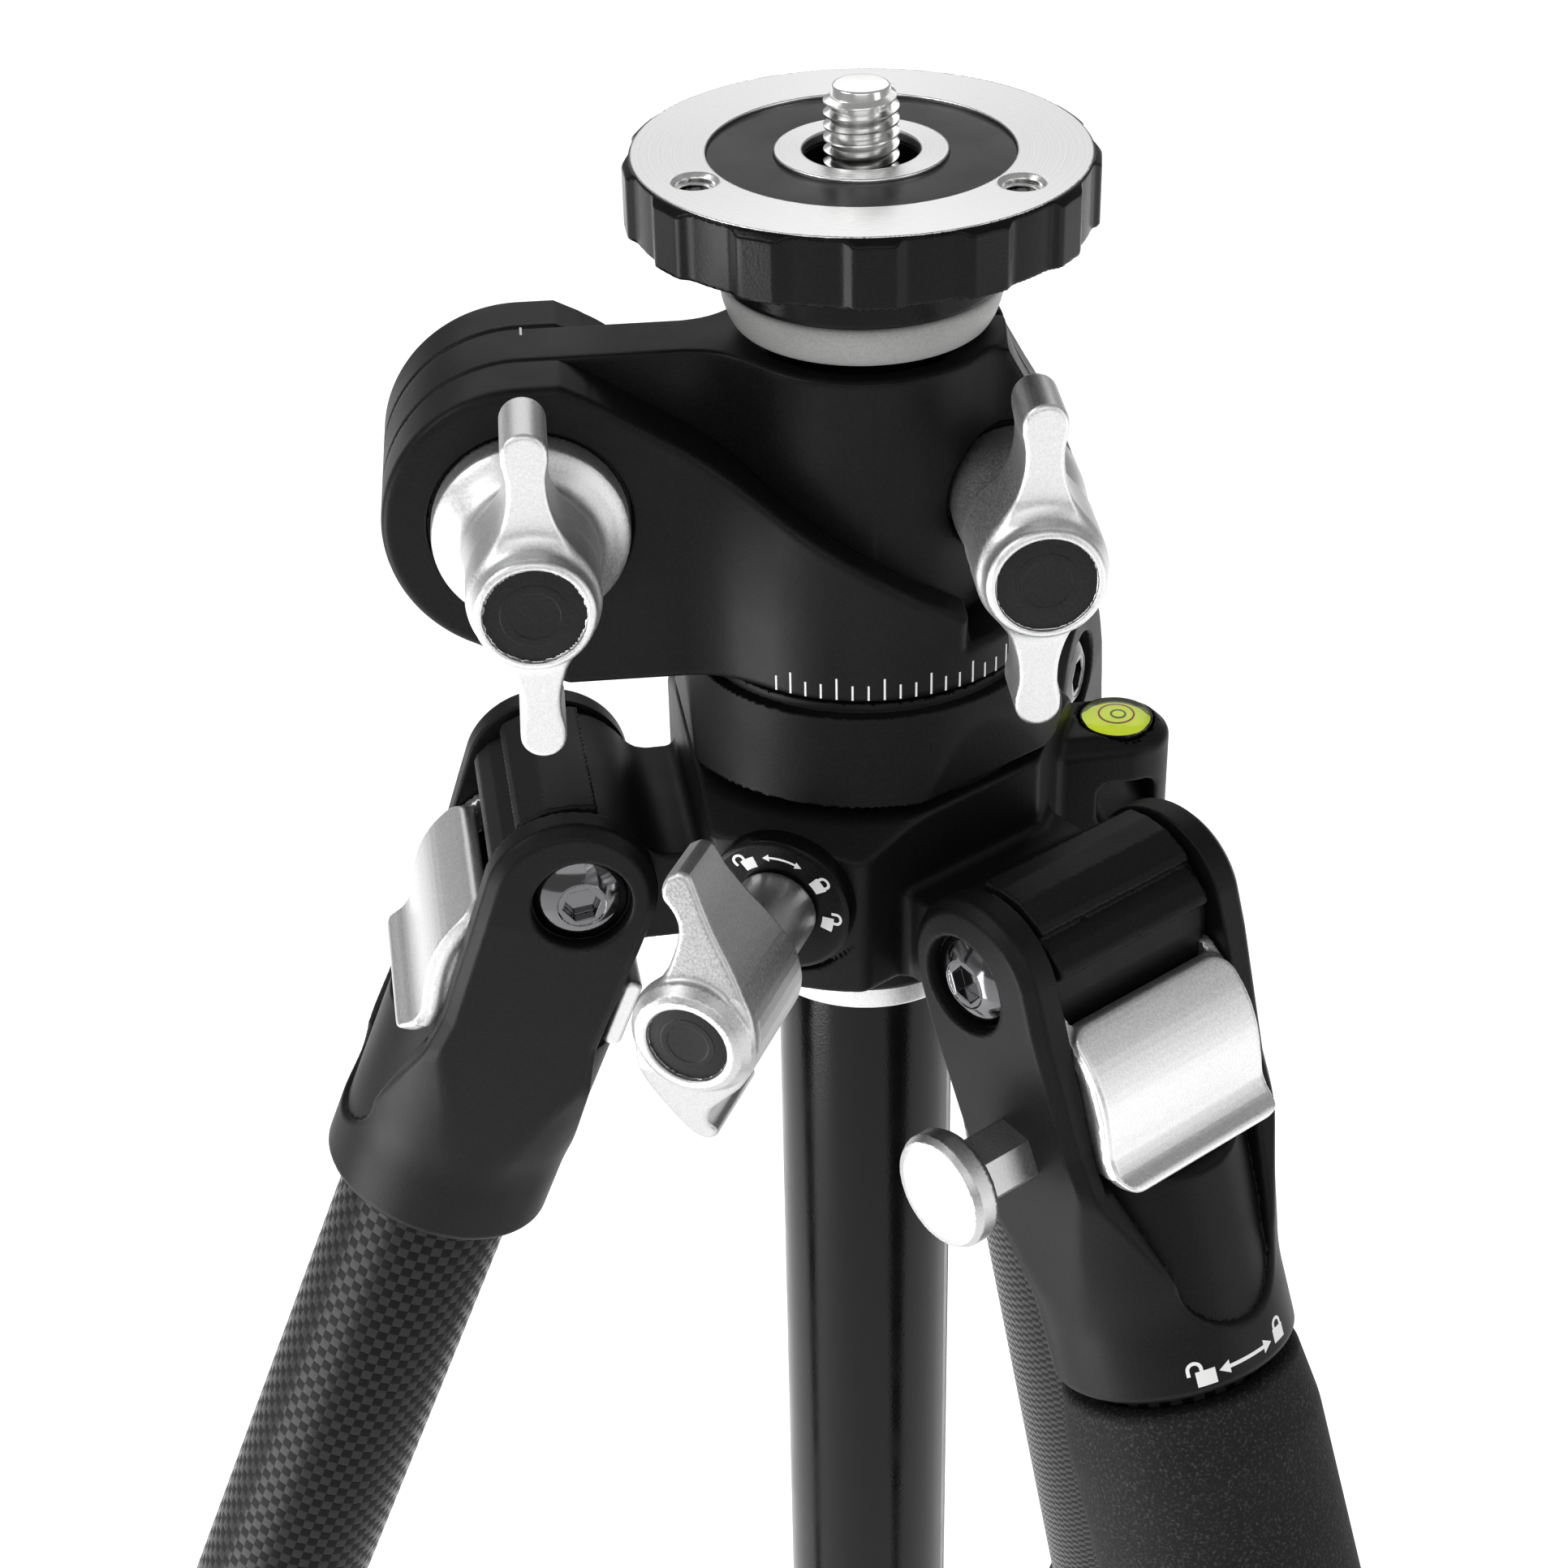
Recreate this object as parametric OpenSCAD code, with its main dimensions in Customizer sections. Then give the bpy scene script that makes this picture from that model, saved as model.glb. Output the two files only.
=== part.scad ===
// Travel tripod with a multi-angle centre column, a panning base, and a 3/8 inch head stud.
// The origin is the centre of the head platform's top face. +Z is up along the column.

/* [Head] */
// Radius of the bright platform face
platform_r = 29.2; // [27:0.1:29.4]
// Radius of the grip wheel under the platform
wheel_r = 30; // [29.6:0.1:31]
// Height from the platform face to the underside of the wheel
wheel_bottom = 9; // [8:0.5:10]
// Major radius of the 3/8 inch head stud
stud_r = 4.7625; // [4.7625]
// How far the stud stands above the platform
stud_height = 8.3; // [6:0.1:10]
// Pitch circle radius of the head locking screws
lock_screw_ring = 23; // [21:0.5:24]

/* [Column] */
// Outer radius of the centre column
column_r = 12.8; // [12.8]
// Depth of the column's lower end below the platform face
column_end = 330; // [260:5:360]

/* [Multi-angle hinge] */
// Direction of the hinge arm around the column, in degrees
arm_azimuth = 206; // [200:1:212]
// Distance from the column's axis to the hinge's axis
hinge_out = 44.3; // [43:0.1:46]
// Depth of the hinge axis and of the clamp screw's axis below the platform face
hinge_depth = 43; // [42.5:0.1:43.5]
// Radius of the rounded ears around the hinge
ear_r = 19; // [18:0.1:19]
// Distance from the column's axis to the clamp screw
clamp_out = 18.4; // [18.2:0.1:19]

/* [Spider] */
// Distance from the column's axis to each leg hinge
pivot_out = 42.45; // [42:0.1:44]
// Depth of the leg hinges below the platform face
pivot_depth = 96.8; // [96:0.1:98]
// Radius of the spider's body between the legs
spider_r = 33; // [31:0.5:33.5]
// Distance from the column's axis to the flat that faces each leg
leg_flat = 25.2; // [24.8:0.1:25.3]

/* [Legs] */
// Angle of the legs from vertical at their first stop
leg_tilt = 21.66; // [20:0.1:23]
// Outer radius of the upper leg tubes
upper_r = 13; // [13]
// Length of a leg with its sections pushed in, from hinge to the middle of the foot's ball
leg_length = 456; // [456:1:470]

/* [Hidden] */

$fn = 64;
cut = 1;                    // overrun of a cutting tool past a face
far = 100;                  // reach of a cut that runs right out of the part
run_gap = 0.05;             // radial play of a shaft that turns or slides
air = 0.3;                  // clearance between moving pieces

leg_names = ["left", "right", "rear"];
leg_azimuths = [210, 330, 90];
pan_lock_azimuth = 270;
bracket_azimuth = 30;

plate_t = 1.5;
recess_r = [11, 19.5];
recess_t = 0.8;
stud_well_r = 7.4;
stud_well_t = 6;
lock_screw_azimuth = 227.6;
lock_screw_hole_r = 2.5;
anti_turn_at = [14.4, 342];
anti_turn_hole_r = 2.6;
grip_count = 13;
grip_azimuth = 264.8;
grip_root_half = 3.9;
grip_crest_half = 2.5;
grip_chamfer = 1.1;
hub_r = 18.2;
hub_bottom = 16.8;
bumper_bottom = 22.5;
bumper_low_r = 17;
stud_root_r = 4;
stud_bevel = 1;
lock_screw_span = [3, 8.5];
anti_turn_top = 2.2;
column_top = 12;
column_wall = 1.5;
column_play_r = 13.2;
end_cap_t = 10;
end_plug_t = 12;
hook_drop = 11;             // from the end cap's face to the middle of the hook's ring
hook_ring_r = 7;
hook_wire_r = 1.8;

collar_top = 24;
collar_bottom = 60;
collar_r = 17.9;
collar_bore_r = 14.4;
bushing_inset = 2;
arm_half = 5;
clamp_half = 10.5;
clamp_slit = 1.2;
clamp_slit_from = 10;
// Side outline of the ears that the clamp screw pulls together.
clamp_ear_outline = [[-8, -collar_top], [-17.5, -collar_top], [-23, -34], [-26.5, -40],
                     [-26.5, -50], [-22, -56], [-8, -57]];
clamp_spot_play = 0.6;      // play of the spot faces around the clamp knob and the bolt's head
clamp_head = [5.5, 3];      // radius and thickness of the clamp bolt's head
hinge_head = [9, 2.5];      // radius and thickness of the hinge bolt's head
bolt_r = 4;
clamp_bolt_r = 3;
plate_face = 14.3;
plate_inner = arm_half + air;
skirt_r = 24;
skirt_bore_r = 18.3;
skirt_floor = 62.5;
pan_gap_at = 67;
slope_high = [39.5, -collar_top];
slope_low = [-11.4, -57];
rim_at = 60.7;
pan_toe = [40.8, -pan_gap_at];
pan_heel = [53.4, -59.6];
spindle_r = 16;
spindle_bottom = 96;
knob_seat_r = 13.2;
knob_seat_t = 1.2;
clamp_seat_r = 8.6;
knob_rim_t = 2.5;
knob_cap_at = 38;           // distance of both knob caps from the arm's middle plane
wing_back = 22.8;
clamp_wing_back = 24.4;
wing_front = 34;
wing_reach = 22.5;
wing_tip_half = 2.9;
wing_side = [[2.2, 15], [3.2, 10], [6, 5]];
boss_r = 7.6;
cap_r = 6.4;
cap_t = 1;

ring_top = pan_gap_at + air;
ring_bottom = 80.8;
ring_top_r = 24.5;
ring_low_r = 27.5;
undercut_t = 1.2;
undercut_r = 23.2;
spigot_r = 20.2;
spigot_bottom = spindle_bottom + 4;
ring_foot_r = 24;           // foot of the base ring inside the groove above the spider
spider_top = 82.5;
spider_chamfer = 3.5;
spider_bottom = 107;
spider_hub_r = 18;
spider_hub_bottom = 118;
ring_nut_r = 16.5;
ring_nut_bottom = 122;
shoulder_half = 14.3;
shoulder_root = 20;
shoulder_top = 92;
tooth_angles = [58, 26, -6];
barrel_r = 11;
tooth_r = 12.2;
bracket_half = 7;
bracket_end = 37;
bracket_top = 87.5;
bracket_bottom = 105;
loop_low = [32.4, 94.5];
loop_high = [40.8, 101.5];
vial_at = 36.4;
vial_r = 5.2;
vial_t = 5;
vial_proud = 0.6;

lock_depth = 92.8;
lock_wall = 33;
dial_r = 10;
dial_t = 1.5;
lock_stem_r = 5.6;
lock_screw_r = 3;
lock_wing_back = 46;
lock_wing_front = 57.5;
lock_cap_at = 66.7;
lock_cap_r = 5.4;
lock_screw_end = 60.7;
lock_tip_r = 2.6;
lock_hollow_side = [[-5.6, 5.2], [-3.4, 9.4], [-3, 12.4]];
lock_full_side = [[3.4, 13], [6.2, 6]];
lock_boss_r = 8;
lock_tip = [-2.8, 20.3];

cheek_in = 14.6;
cheek_out = 19.6;
cheek_c = 1.4;
cheek_r = 11.9;
cheek_front = 12.2;
web_t = 4;
yoke_bevel = 1.5;
slot_floor = 27.5;
yoke_r = 17;
yoke_bottom = 62.5;
yoke_round_top = 50;
socket_top = 38;
head_well_r = 6.9;
head_well_t = 2.4;
bolt_head_r = 6.2;
head_proud = 0.2;
latch_half = 14.3;
latch_stem_half = 8;
latch_pin_r = 1.6;
latch_pin_at = [4, -19];
pin_half = 18.1;
latch_stem = [[-13, -14.5], [13, -14.5], [13, -23.5], [-13, -23.5]];
// Side outline of the plate at the latch's inner end.
latch_back = [[-15, -15], [-12, -14], [-12, -26], [-15, -25.5]];
latch_back_half = 13;
// Side outline of the latch's tab: convex above, hollow below, with a lip for the finger.
latch_tab = [[10.6, -8], [12.6, -9], [15.4, -12.5], [16.2, -17], [15.6, -22], [15, -25.5],
             [16.8, -29.4], [14.4, -30.2], [13, -26.2], [12.4, -20], [12, -14]];
latch_travel = 6;
tube_wall = 1.4;
upper_end = 388;
middle_r = 11.3;
middle_top = 70;
middle_end = 424;
lower_r = 9.6;
lower_top = 92;
upper_lock_span = [374, 406];
lower_lock_span = [408, 438];
upper_lock_r = 16.4;
lower_lock_r = 14.6;
foot_r = 12.5;
foot_top = leg_length - 12;
lower_end = leg_length - 6;
grip_foam_r = 18;
grip_end_r = 16.4;
grip_bevel = 6;
grip_span = [64.5, 262];
button_depth = 24.3;
button_head_r = 8;
button_shank_r = 4.6;
button_face = 32;
button_neck = 28;

black = "#1b1b1c";
satin_silver = "#c9cacb";
chrome = "#dcdcdc";
dark_chrome = "#55565a";
rubber_grey = "#9a9a98";
foam_grey = "#2b2b2b";
level_green = "#c8e63a";

module arm_frame() { rotate([0, 0, arm_azimuth]) children(); }
module lock_frame() { rotate([0, 0, pan_lock_azimuth]) translate([0, 0, -lock_depth]) children(); }

// Leg frame: X points outwards across the leg, Y along the hinge, -Z down the leg.
module leg_frame(azimuth) {
    rotate([0, 0, azimuth])
        translate([pivot_out, 0, -pivot_depth])
            rotate([0, -leg_tilt, 0])
                children();
}
function leg_azimuth(side) = leg_azimuths[search([side], leg_names)[0]];

// A solid of revolution about Z between two depths.
module drum(r, from, to) { translate([0, 0, -to]) cylinder(r = r, h = to - from); }
module tube(r, bore, from, to) {
    difference() {
        drum(r, from, to);
        drum(bore, from - cut, to + cut);
    }
}
// A plate in the arm's or leg's XZ plane, from one Y to another.
module plate_y(from, to) {
    translate([0, to, 0]) rotate([90, 0, 0]) linear_extrude(to - from) children();
}
// A shaft along Y at a place in the XZ plane.
module shaft_y(r, at, from, to) {
    translate([at[0], to, at[1]]) rotate([90, 0, 0]) cylinder(r = r, h = to - from);
}
// A shaft along X on the pan lock's axis.
module shaft_x(r, from, to) { translate([from, 0, 0]) rotate([0, 90, 0]) cylinder(r = r, h = to - from); }

hinge_at = [hinge_out, -hinge_depth];
clamp_at = [-clamp_out, -hinge_depth];

module lock_screw_places() {
    for (i = [0:2])
        rotate([0, 0, lock_screw_azimuth + 120 * i]) translate([lock_screw_ring, 0, 0]) children();
}
module anti_turn_place() { rotate([0, 0, anti_turn_at[1]]) translate([anti_turn_at[0], 0, 0]) children(); }

module head_plate() {
    color(chrome) difference() {
        drum(platform_r, 0, plate_t);
        drum(stud_well_r, -cut, plate_t + cut);
        difference() {
            drum(recess_r[1], -cut, recess_t);
            drum(recess_r[0], -cut, recess_t + cut);
        }
        lock_screw_places() drum(lock_screw_hole_r, -cut, plate_t + cut);
        anti_turn_place() drum(anti_turn_hole_r, -cut, plate_t + cut);
    }
}

// Raised grips round the wheel, chamfered at the top where they stand beside the platform.
module wheel_grips() {
    intersection() {
        for (i = [0:grip_count - 1])
            rotate([0, 0, grip_azimuth + 360 / grip_count * i]) translate([0, 0, -wheel_bottom])
                linear_extrude(wheel_bottom)
                    polygon([[platform_r - cut, -grip_root_half], [wheel_r, -grip_crest_half],
                             [wheel_r, grip_crest_half], [platform_r - cut, grip_root_half]]);
        union() {
            translate([0, 0, -grip_chamfer])
                cylinder(r1 = platform_r + grip_chamfer, r2 = platform_r, h = grip_chamfer);
            drum(platform_r + grip_chamfer, grip_chamfer, wheel_bottom);
        }
    }
}

module head_wheel() {
    color(black) difference() {
        union() {
            drum(platform_r, plate_t, wheel_bottom);
            wheel_grips();
            drum(hub_r, plate_t, hub_bottom);
        }
        drum(platform_r, -cut, plate_t);
        drum(stud_well_r, 0, stud_well_t);
        drum(stud_root_r, 0, column_top + cut);
        drum(column_r, column_top, hub_bottom + cut);
        lock_screw_places() drum(lock_screw_hole_r, 0, wheel_bottom + cut);
        anti_turn_place() drum(anti_turn_hole_r, 0, stud_well_t);
    }
}

module head_stud() {
    color(satin_silver) union() {
        drum(stud_r, stud_bevel - stud_height, stud_well_t);
        drum(stud_root_r, stud_well_t, column_top);
        translate([0, 0, stud_height - stud_bevel])
            cylinder(r1 = stud_r, r2 = stud_r - stud_bevel, h = stud_bevel);
    }
}

module lock_screws() {
    color(satin_silver) {
        lock_screw_places() drum(lock_screw_hole_r, lock_screw_span[0], lock_screw_span[1]);
        anti_turn_place() drum(anti_turn_hole_r, anti_turn_top, stud_well_t);
    }
}

module bumper_ring() {
    color(rubber_grey) difference() {
        translate([0, 0, -bumper_bottom])
            cylinder(r1 = bumper_low_r, r2 = hub_r, h = bumper_bottom - hub_bottom);
        drum(column_r, 0, bumper_bottom + cut);
    }
}

module column_tube() { color(black) tube(column_r, column_r - column_wall, column_top, column_end); }

module column_end_cap() {
    color(black) difference() {
        union() {
            drum(column_r - column_wall, column_end - end_plug_t, column_end);
            drum(column_r, column_end, column_end + end_cap_t);
        }
        drum(bolt_r, column_end - end_plug_t - cut, column_end + end_cap_t + cut);
    }
}

module weight_hook() {
    ring_at = column_end + end_cap_t + hook_drop;
    color(satin_silver) union() {
        drum(bolt_r, column_end - end_plug_t, ring_at - hook_ring_r + hook_wire_r / 2);
        translate([0, 0, -ring_at]) rotate([90, 0, 0])
            rotate_extrude() translate([hook_ring_r, 0]) circle(r = hook_wire_r, $fn = 24);
    }
}

module collar() {
    color(black) arm_frame() difference() {
        union() {
            drum(collar_r, collar_top, collar_bottom);
            plate_y(-arm_half, arm_half) union() {
                translate(hinge_at) circle(r = ear_r);
                polygon([[0, -collar_top], [hinge_out, -collar_top],
                         [hinge_out, -hinge_depth - ear_r], [0, -collar_bottom]]);
            }
            plate_y(-clamp_half, clamp_half)
                polygon(clamp_ear_outline);
        }
        drum(collar_bore_r, 0, collar_bottom + cut);
        translate([-clamp_slit_from - far, -clamp_slit / 2, -collar_bottom - cut])
            cube([far, clamp_slit, collar_bottom]);
        shaft_y(bolt_r, hinge_at, -far, far);
        shaft_y(clamp_bolt_r, clamp_at, -far, far);
        shaft_y(clamp_seat_r + clamp_spot_play, clamp_at, clamp_half, far);
        shaft_y(clamp_head[0] + clamp_spot_play, clamp_at, -far, -clamp_half);
    }
}

module collar_bushing() {
    color(black)
        tube(collar_bore_r, column_r + run_gap, collar_top + bushing_inset, collar_bottom - bushing_inset);
}

module clamp_bolt() {
    color(dark_chrome) arm_frame() union() {
        shaft_y(clamp_bolt_r, clamp_at, -clamp_half, wing_front);
        shaft_y(clamp_head[0], clamp_at, -clamp_half - clamp_head[1], -clamp_half);
    }
}

module hinge_bolt() {
    color(dark_chrome) arm_frame() union() {
        shaft_y(bolt_r, hinge_at, -plate_face, wing_front);
        shaft_y(hinge_head[0], hinge_at, -plate_face - hinge_head[1], -plate_face);
    }
}

// Wing outline in the knob's own plane, symmetric about its axis.
module wing_outline() {
    tip_at = wing_reach - wing_tip_half;
    for (flip = [0, 180]) rotate(flip) {
        translate([0, tip_at]) circle(r = wing_tip_half, $fn = 32);
        for (hand = [-1, 1])
            polygon([[0, 0], [0, tip_at], [hand * wing_tip_half, tip_at],
                     for (point = wing_side) [hand * point[0], point[1]], [hand * boss_r, 0]]);
    }
}

// A clamp knob on a fixed bolt: seat on the clamped face, barrel, wing and a round cap.
module wing_knob(at, seat, seat_r, shaft_r, back) {
    difference() {
        union() {
            shaft_y(seat_r, at, seat, seat + knob_rim_t);
            translate([at[0], seat + knob_rim_t, at[1]]) rotate([-90, 0, 0])
                cylinder(r1 = seat_r, r2 = boss_r, h = back - seat);
            shaft_y(boss_r, at, seat + knob_rim_t, knob_cap_at);
            plate_y(back, wing_front) translate(at) wing_outline();
        }
        shaft_y(shaft_r + run_gap, at, 0, wing_front + 0.5);
        shaft_y(cap_r, at, knob_cap_at - cap_t, knob_cap_at + cut);
    }
}

module clamp_knob() {
    color(satin_silver) arm_frame()
        wing_knob(clamp_at, clamp_half + air, clamp_seat_r, clamp_bolt_r, clamp_wing_back);
}
module hinge_knob() {
    color(satin_silver) arm_frame()
        wing_knob(hinge_at, plate_face - knob_seat_t + air, knob_seat_r - 0.5, bolt_r, wing_back);
}
module knob_cap(at) { shaft_y(cap_r, at, knob_cap_at - cap_t, knob_cap_at); }
module clamp_knob_cap() { color(black) arm_frame() knob_cap(clamp_at); }
module hinge_knob_cap() { color(black) arm_frame() knob_cap(hinge_at); }

// Side outline of the pan body: rounded ears, a sloping top edge, and a low rim under the clamp.
module pan_outline() {
    translate(hinge_at) circle(r = ear_r);
    polygon([[-skirt_r - cut, -pan_gap_at], pan_toe, pan_heel, [hinge_out, -hinge_depth],
             [hinge_out, -collar_top], slope_high, slope_low, [slope_low[0], -rim_at],
             [-skirt_r - cut, -rim_at]]);
}

module pan_body() {
    color(black) arm_frame() difference() {
        union() {
            intersection() {
                plate_y(-skirt_r - cut, skirt_r + cut) pan_outline();
                union() {
                    drum(skirt_r, 0, pan_gap_at);
                    translate([0, -plate_face, -far]) cube([far, 2 * plate_face, far]);
                }
            }
            drum(spindle_r, pan_gap_at - cut, spindle_bottom);
        }
        drum(skirt_bore_r, 0, skirt_floor);
        translate([0, -plate_inner, -skirt_floor]) cube([far, 2 * plate_inner, far]);
        drum(column_play_r, 0, spindle_bottom + cut);
        shaft_y(bolt_r, hinge_at, -far, far);
        shaft_y(knob_seat_r, hinge_at, plate_face - knob_seat_t, plate_face + cut);
    }
}

module leg_flats(low, high) {
    for (azimuth = leg_azimuths) rotate([0, 0, azimuth])
        translate([leg_flat, -far, -low]) cube([far, 2 * far, low - high]);
}

module pan_base_ring() {
    color(black) difference() {
        union() {
            translate([0, 0, -ring_bottom])
                cylinder(r1 = ring_low_r, r2 = ring_top_r, h = ring_bottom - ring_top - undercut_t);
            drum(undercut_r, ring_top, ring_bottom);
            drum(ring_foot_r, ring_bottom - cut, spider_top);
            drum(spigot_r, ring_bottom, spigot_bottom);
        }
        leg_flats(ring_bottom + cut, 0);
        drum(spindle_r + run_gap, 0, spindle_bottom + air);
        drum(column_play_r, 0, spigot_bottom + cut);
        lock_frame() shaft_x(lock_screw_r + run_gap, spindle_r, far);
    }
}

// Hinge barrel with three angle-stop teeth on its outer side.
module shoulder() {
    translate([shoulder_root, -shoulder_half, -spider_bottom])
        cube([pivot_out - shoulder_root, 2 * shoulder_half, spider_bottom - shoulder_top]);
    translate([pivot_out, 0, -pivot_depth]) {
        shaft_y(barrel_r, [0, 0], -shoulder_half, shoulder_half);
        rotate([0, -leg_tilt, 0]) plate_y(-latch_half + 1.5, latch_half - 1.5)
            for (angle = tooth_angles) rotate(angle)
                polygon([[0, 0], [barrel_r, -5.5], [tooth_r, 0.6], [barrel_r, 2.2]]);
    }
}

module bracket() {
    rotate([0, 0, bracket_azimuth]) translate([0, 0, -bracket_bottom])
        linear_extrude(bracket_bottom - bracket_top) union() {
            translate([bracket_end, 0]) circle(r = bracket_half);
            translate([shoulder_root, -bracket_half])
                square([bracket_end - shoulder_root, 2 * bracket_half]);
        }
}

module vial_place() { rotate([0, 0, bracket_azimuth]) translate([vial_at, 0, 0]) children(); }

module strap_loop() {
    rotate([0, 0, bracket_azimuth]) translate([loop_low[0], -2 * bracket_half, -loop_high[1]])
        cube([loop_high[0] - loop_low[0], 4 * bracket_half, loop_high[1] - loop_low[1]]);
}

module spider() {
    color(black) difference() {
        union() {
            difference() {
                union() {
                    translate([0, 0, -spider_top - spider_chamfer])
                        cylinder(r1 = spider_r, r2 = ring_low_r, h = spider_chamfer);
                    drum(spider_r, spider_top + spider_chamfer, spider_bottom);
                }
                leg_flats(spider_bottom + cut, 0);
            }
            drum(spider_hub_r, spider_bottom - cut, spider_hub_bottom);
            for (azimuth = leg_azimuths) rotate([0, 0, azimuth]) shoulder();
            bracket();
        }
        strap_loop();
        vial_place() drum(vial_r, 0, bracket_top + vial_t);
        drum(spigot_r, 0, spigot_bottom);
        drum(column_play_r, 0, spider_hub_bottom + cut);
        for (azimuth = leg_azimuths) rotate([0, 0, azimuth])
            shaft_y(bolt_r + run_gap, [pivot_out, -pivot_depth], -shoulder_half - cut, shoulder_half + cut);
        lock_frame() shaft_x(lock_screw_r + run_gap, spindle_r, far);
    }
}

module bubble_level() {
    color(level_green) vial_place() drum(vial_r, bracket_top - vial_proud, bracket_top + vial_t);
}

module retaining_ring() {
    color(satin_silver) tube(ring_nut_r, column_play_r + 0.1, spider_hub_bottom, ring_nut_bottom);
}

module pan_lock_dial() {
    color(black) lock_frame() difference() {
        shaft_x(dial_r, lock_wall - 2 * dial_t, lock_wall + dial_t);
        shaft_x(lock_screw_r + run_gap, 0, far);
        translate([0, 0, lock_depth]) drum(spider_r, 0, 2 * far);
    }
}
module pan_lock_screw() {
    color(dark_chrome) lock_frame() shaft_x(lock_screw_r, spindle_r + air, lock_screw_end);
}

// S-shaped wing in the plane across the lock's axis.
module lock_wing_outline() {
    for (flip = [0, 180]) rotate(flip) {
        translate(lock_tip - [0, lock_tip_r]) circle(r = lock_tip_r, $fn = 32);
        polygon(concat([lock_tip - [-lock_tip_r, lock_tip_r]], lock_full_side,
                       [[lock_boss_r, 0], [-lock_boss_r, 0]], lock_hollow_side,
                       [lock_tip - [lock_tip_r, lock_tip_r]]));
    }
}

module pan_lock_knob() {
    color(satin_silver) lock_frame() difference() {
        union() {
            shaft_x(lock_stem_r, lock_wall + dial_t + air, lock_wing_back + cut);
            shaft_x(lock_boss_r, lock_wing_back, lock_cap_at);
            translate([lock_wing_back, 0, 0]) rotate([90, 0, 90])
                linear_extrude(lock_wing_front - lock_wing_back) lock_wing_outline();
        }
        shaft_x(lock_screw_r, 0, lock_screw_end);
        shaft_x(lock_cap_r, lock_cap_at - cap_t, lock_cap_at + cut);
    }
}
module pan_lock_cap() { color(black) lock_frame() shaft_x(lock_cap_r, lock_cap_at - cap_t, lock_cap_at); }

module yoke(side) {
    color(black) leg_frame(leg_azimuth(side)) difference() {
        union() {
            hull() {
                translate([cheek_c - cheek_r, -cheek_out, -slot_floor - web_t])
                    cube([2 * cheek_r, 2 * cheek_out, web_t]);
                translate([0, 0, -yoke_bottom + yoke_bevel]) cylinder(r = yoke_r, h = web_t, $fn = 32);
            }
            drum(yoke_r, yoke_round_top, yoke_bottom - yoke_bevel);
            translate([0, 0, -yoke_bottom]) cylinder(r1 = yoke_r - yoke_bevel, r2 = yoke_r, h = yoke_bevel);
            for (y = [-cheek_out, cheek_in]) plate_y(y, y + cheek_out - cheek_in) union() {
                translate([cheek_c, 0]) circle(r = cheek_r);
                polygon([[cheek_c - cheek_r, 0], [cheek_c + cheek_r, 0], [cheek_front, -6],
                         [cheek_front, -slot_floor - cut], [cheek_c - cheek_r, -slot_floor - cut]]);
            }
        }
        shaft_y(bolt_r, [0, 0], -far, far);
        shaft_y(head_well_r, [0, 0], -far, head_well_t - cheek_out);
        shaft_y(head_well_r, [0, 0], cheek_out - head_well_t, far);
        shaft_y(latch_pin_r, latch_pin_at, -pin_half, pin_half);
        drum(upper_r, socket_top, yoke_bottom + cut);
        if (side == "right")
            shaft_y(button_shank_r + run_gap, [0, -button_depth], -far, 0);
    }
}

module leg_bolt(side) {
    color(dark_chrome) leg_frame(leg_azimuth(side)) union() {
        shaft_y(bolt_r, [0, 0], -cheek_out + cut, cheek_out - cut);
        shaft_y(bolt_head_r, [0, 0], -cheek_out - head_proud, -cheek_out + head_well_t);
        shaft_y(bolt_head_r, [0, 0], cheek_out - head_well_t, cheek_out + head_proud);
    }
}

// Pull-out angle latch: an outer tab with a finger lip, on a stem that slides on a cross pin.
module latch(side) {
    color(satin_silver) leg_frame(leg_azimuth(side)) difference() {
        union() {
            plate_y(-latch_half, latch_half)
                polygon(latch_tab);
            plate_y(-latch_stem_half, latch_stem_half)
                polygon(latch_stem);
            plate_y(-latch_back_half, latch_back_half)
                polygon(latch_back);
        }
        plate_y(-latch_half, latch_half) hull() {
            translate(latch_pin_at) circle(r = latch_pin_r + air, $fn = 24);
            translate(latch_pin_at - [latch_travel, 0]) circle(r = latch_pin_r + air, $fn = 24);
        }
    }
}

module latch_pin(side) {
    color(dark_chrome) leg_frame(leg_azimuth(side))
        shaft_y(latch_pin_r, latch_pin_at, -pin_half, pin_half);
}

module upper_tube(side) {
    color(black) leg_frame(leg_azimuth(side)) tube(upper_r, upper_r - tube_wall, socket_top, upper_end);
}
module middle_tube(side) {
    color(black) leg_frame(leg_azimuth(side)) tube(middle_r, middle_r - tube_wall, middle_top, middle_end);
}
module lower_tube(side) {
    color(black) leg_frame(leg_azimuth(side)) tube(lower_r, lower_r - tube_wall, lower_top, lower_end);
}

module twist_lock(r, span, big_bore, step, small_bore) {
    difference() {
        drum(r, span[0], span[1]);
        drum(big_bore, span[0] - cut, step);
        drum(small_bore, span[0] - cut, span[1] + cut);
    }
}
module upper_lock(side) {
    color(black) leg_frame(leg_azimuth(side))
        twist_lock(upper_lock_r, upper_lock_span, upper_r + run_gap, upper_end + air, middle_r + air);
}
module lower_lock(side) {
    color(black) leg_frame(leg_azimuth(side))
        twist_lock(lower_lock_r, lower_lock_span, middle_r + run_gap, middle_end + air, lower_r + air);
}

module foot(side) {
    color(black) leg_frame(leg_azimuth(side)) difference() {
        union() {
            drum(foot_r, foot_top, leg_length);
            translate([0, 0, -leg_length]) sphere(r = foot_r);
        }
        drum(lower_r, foot_top - cut, lower_end);
    }
}

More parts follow.
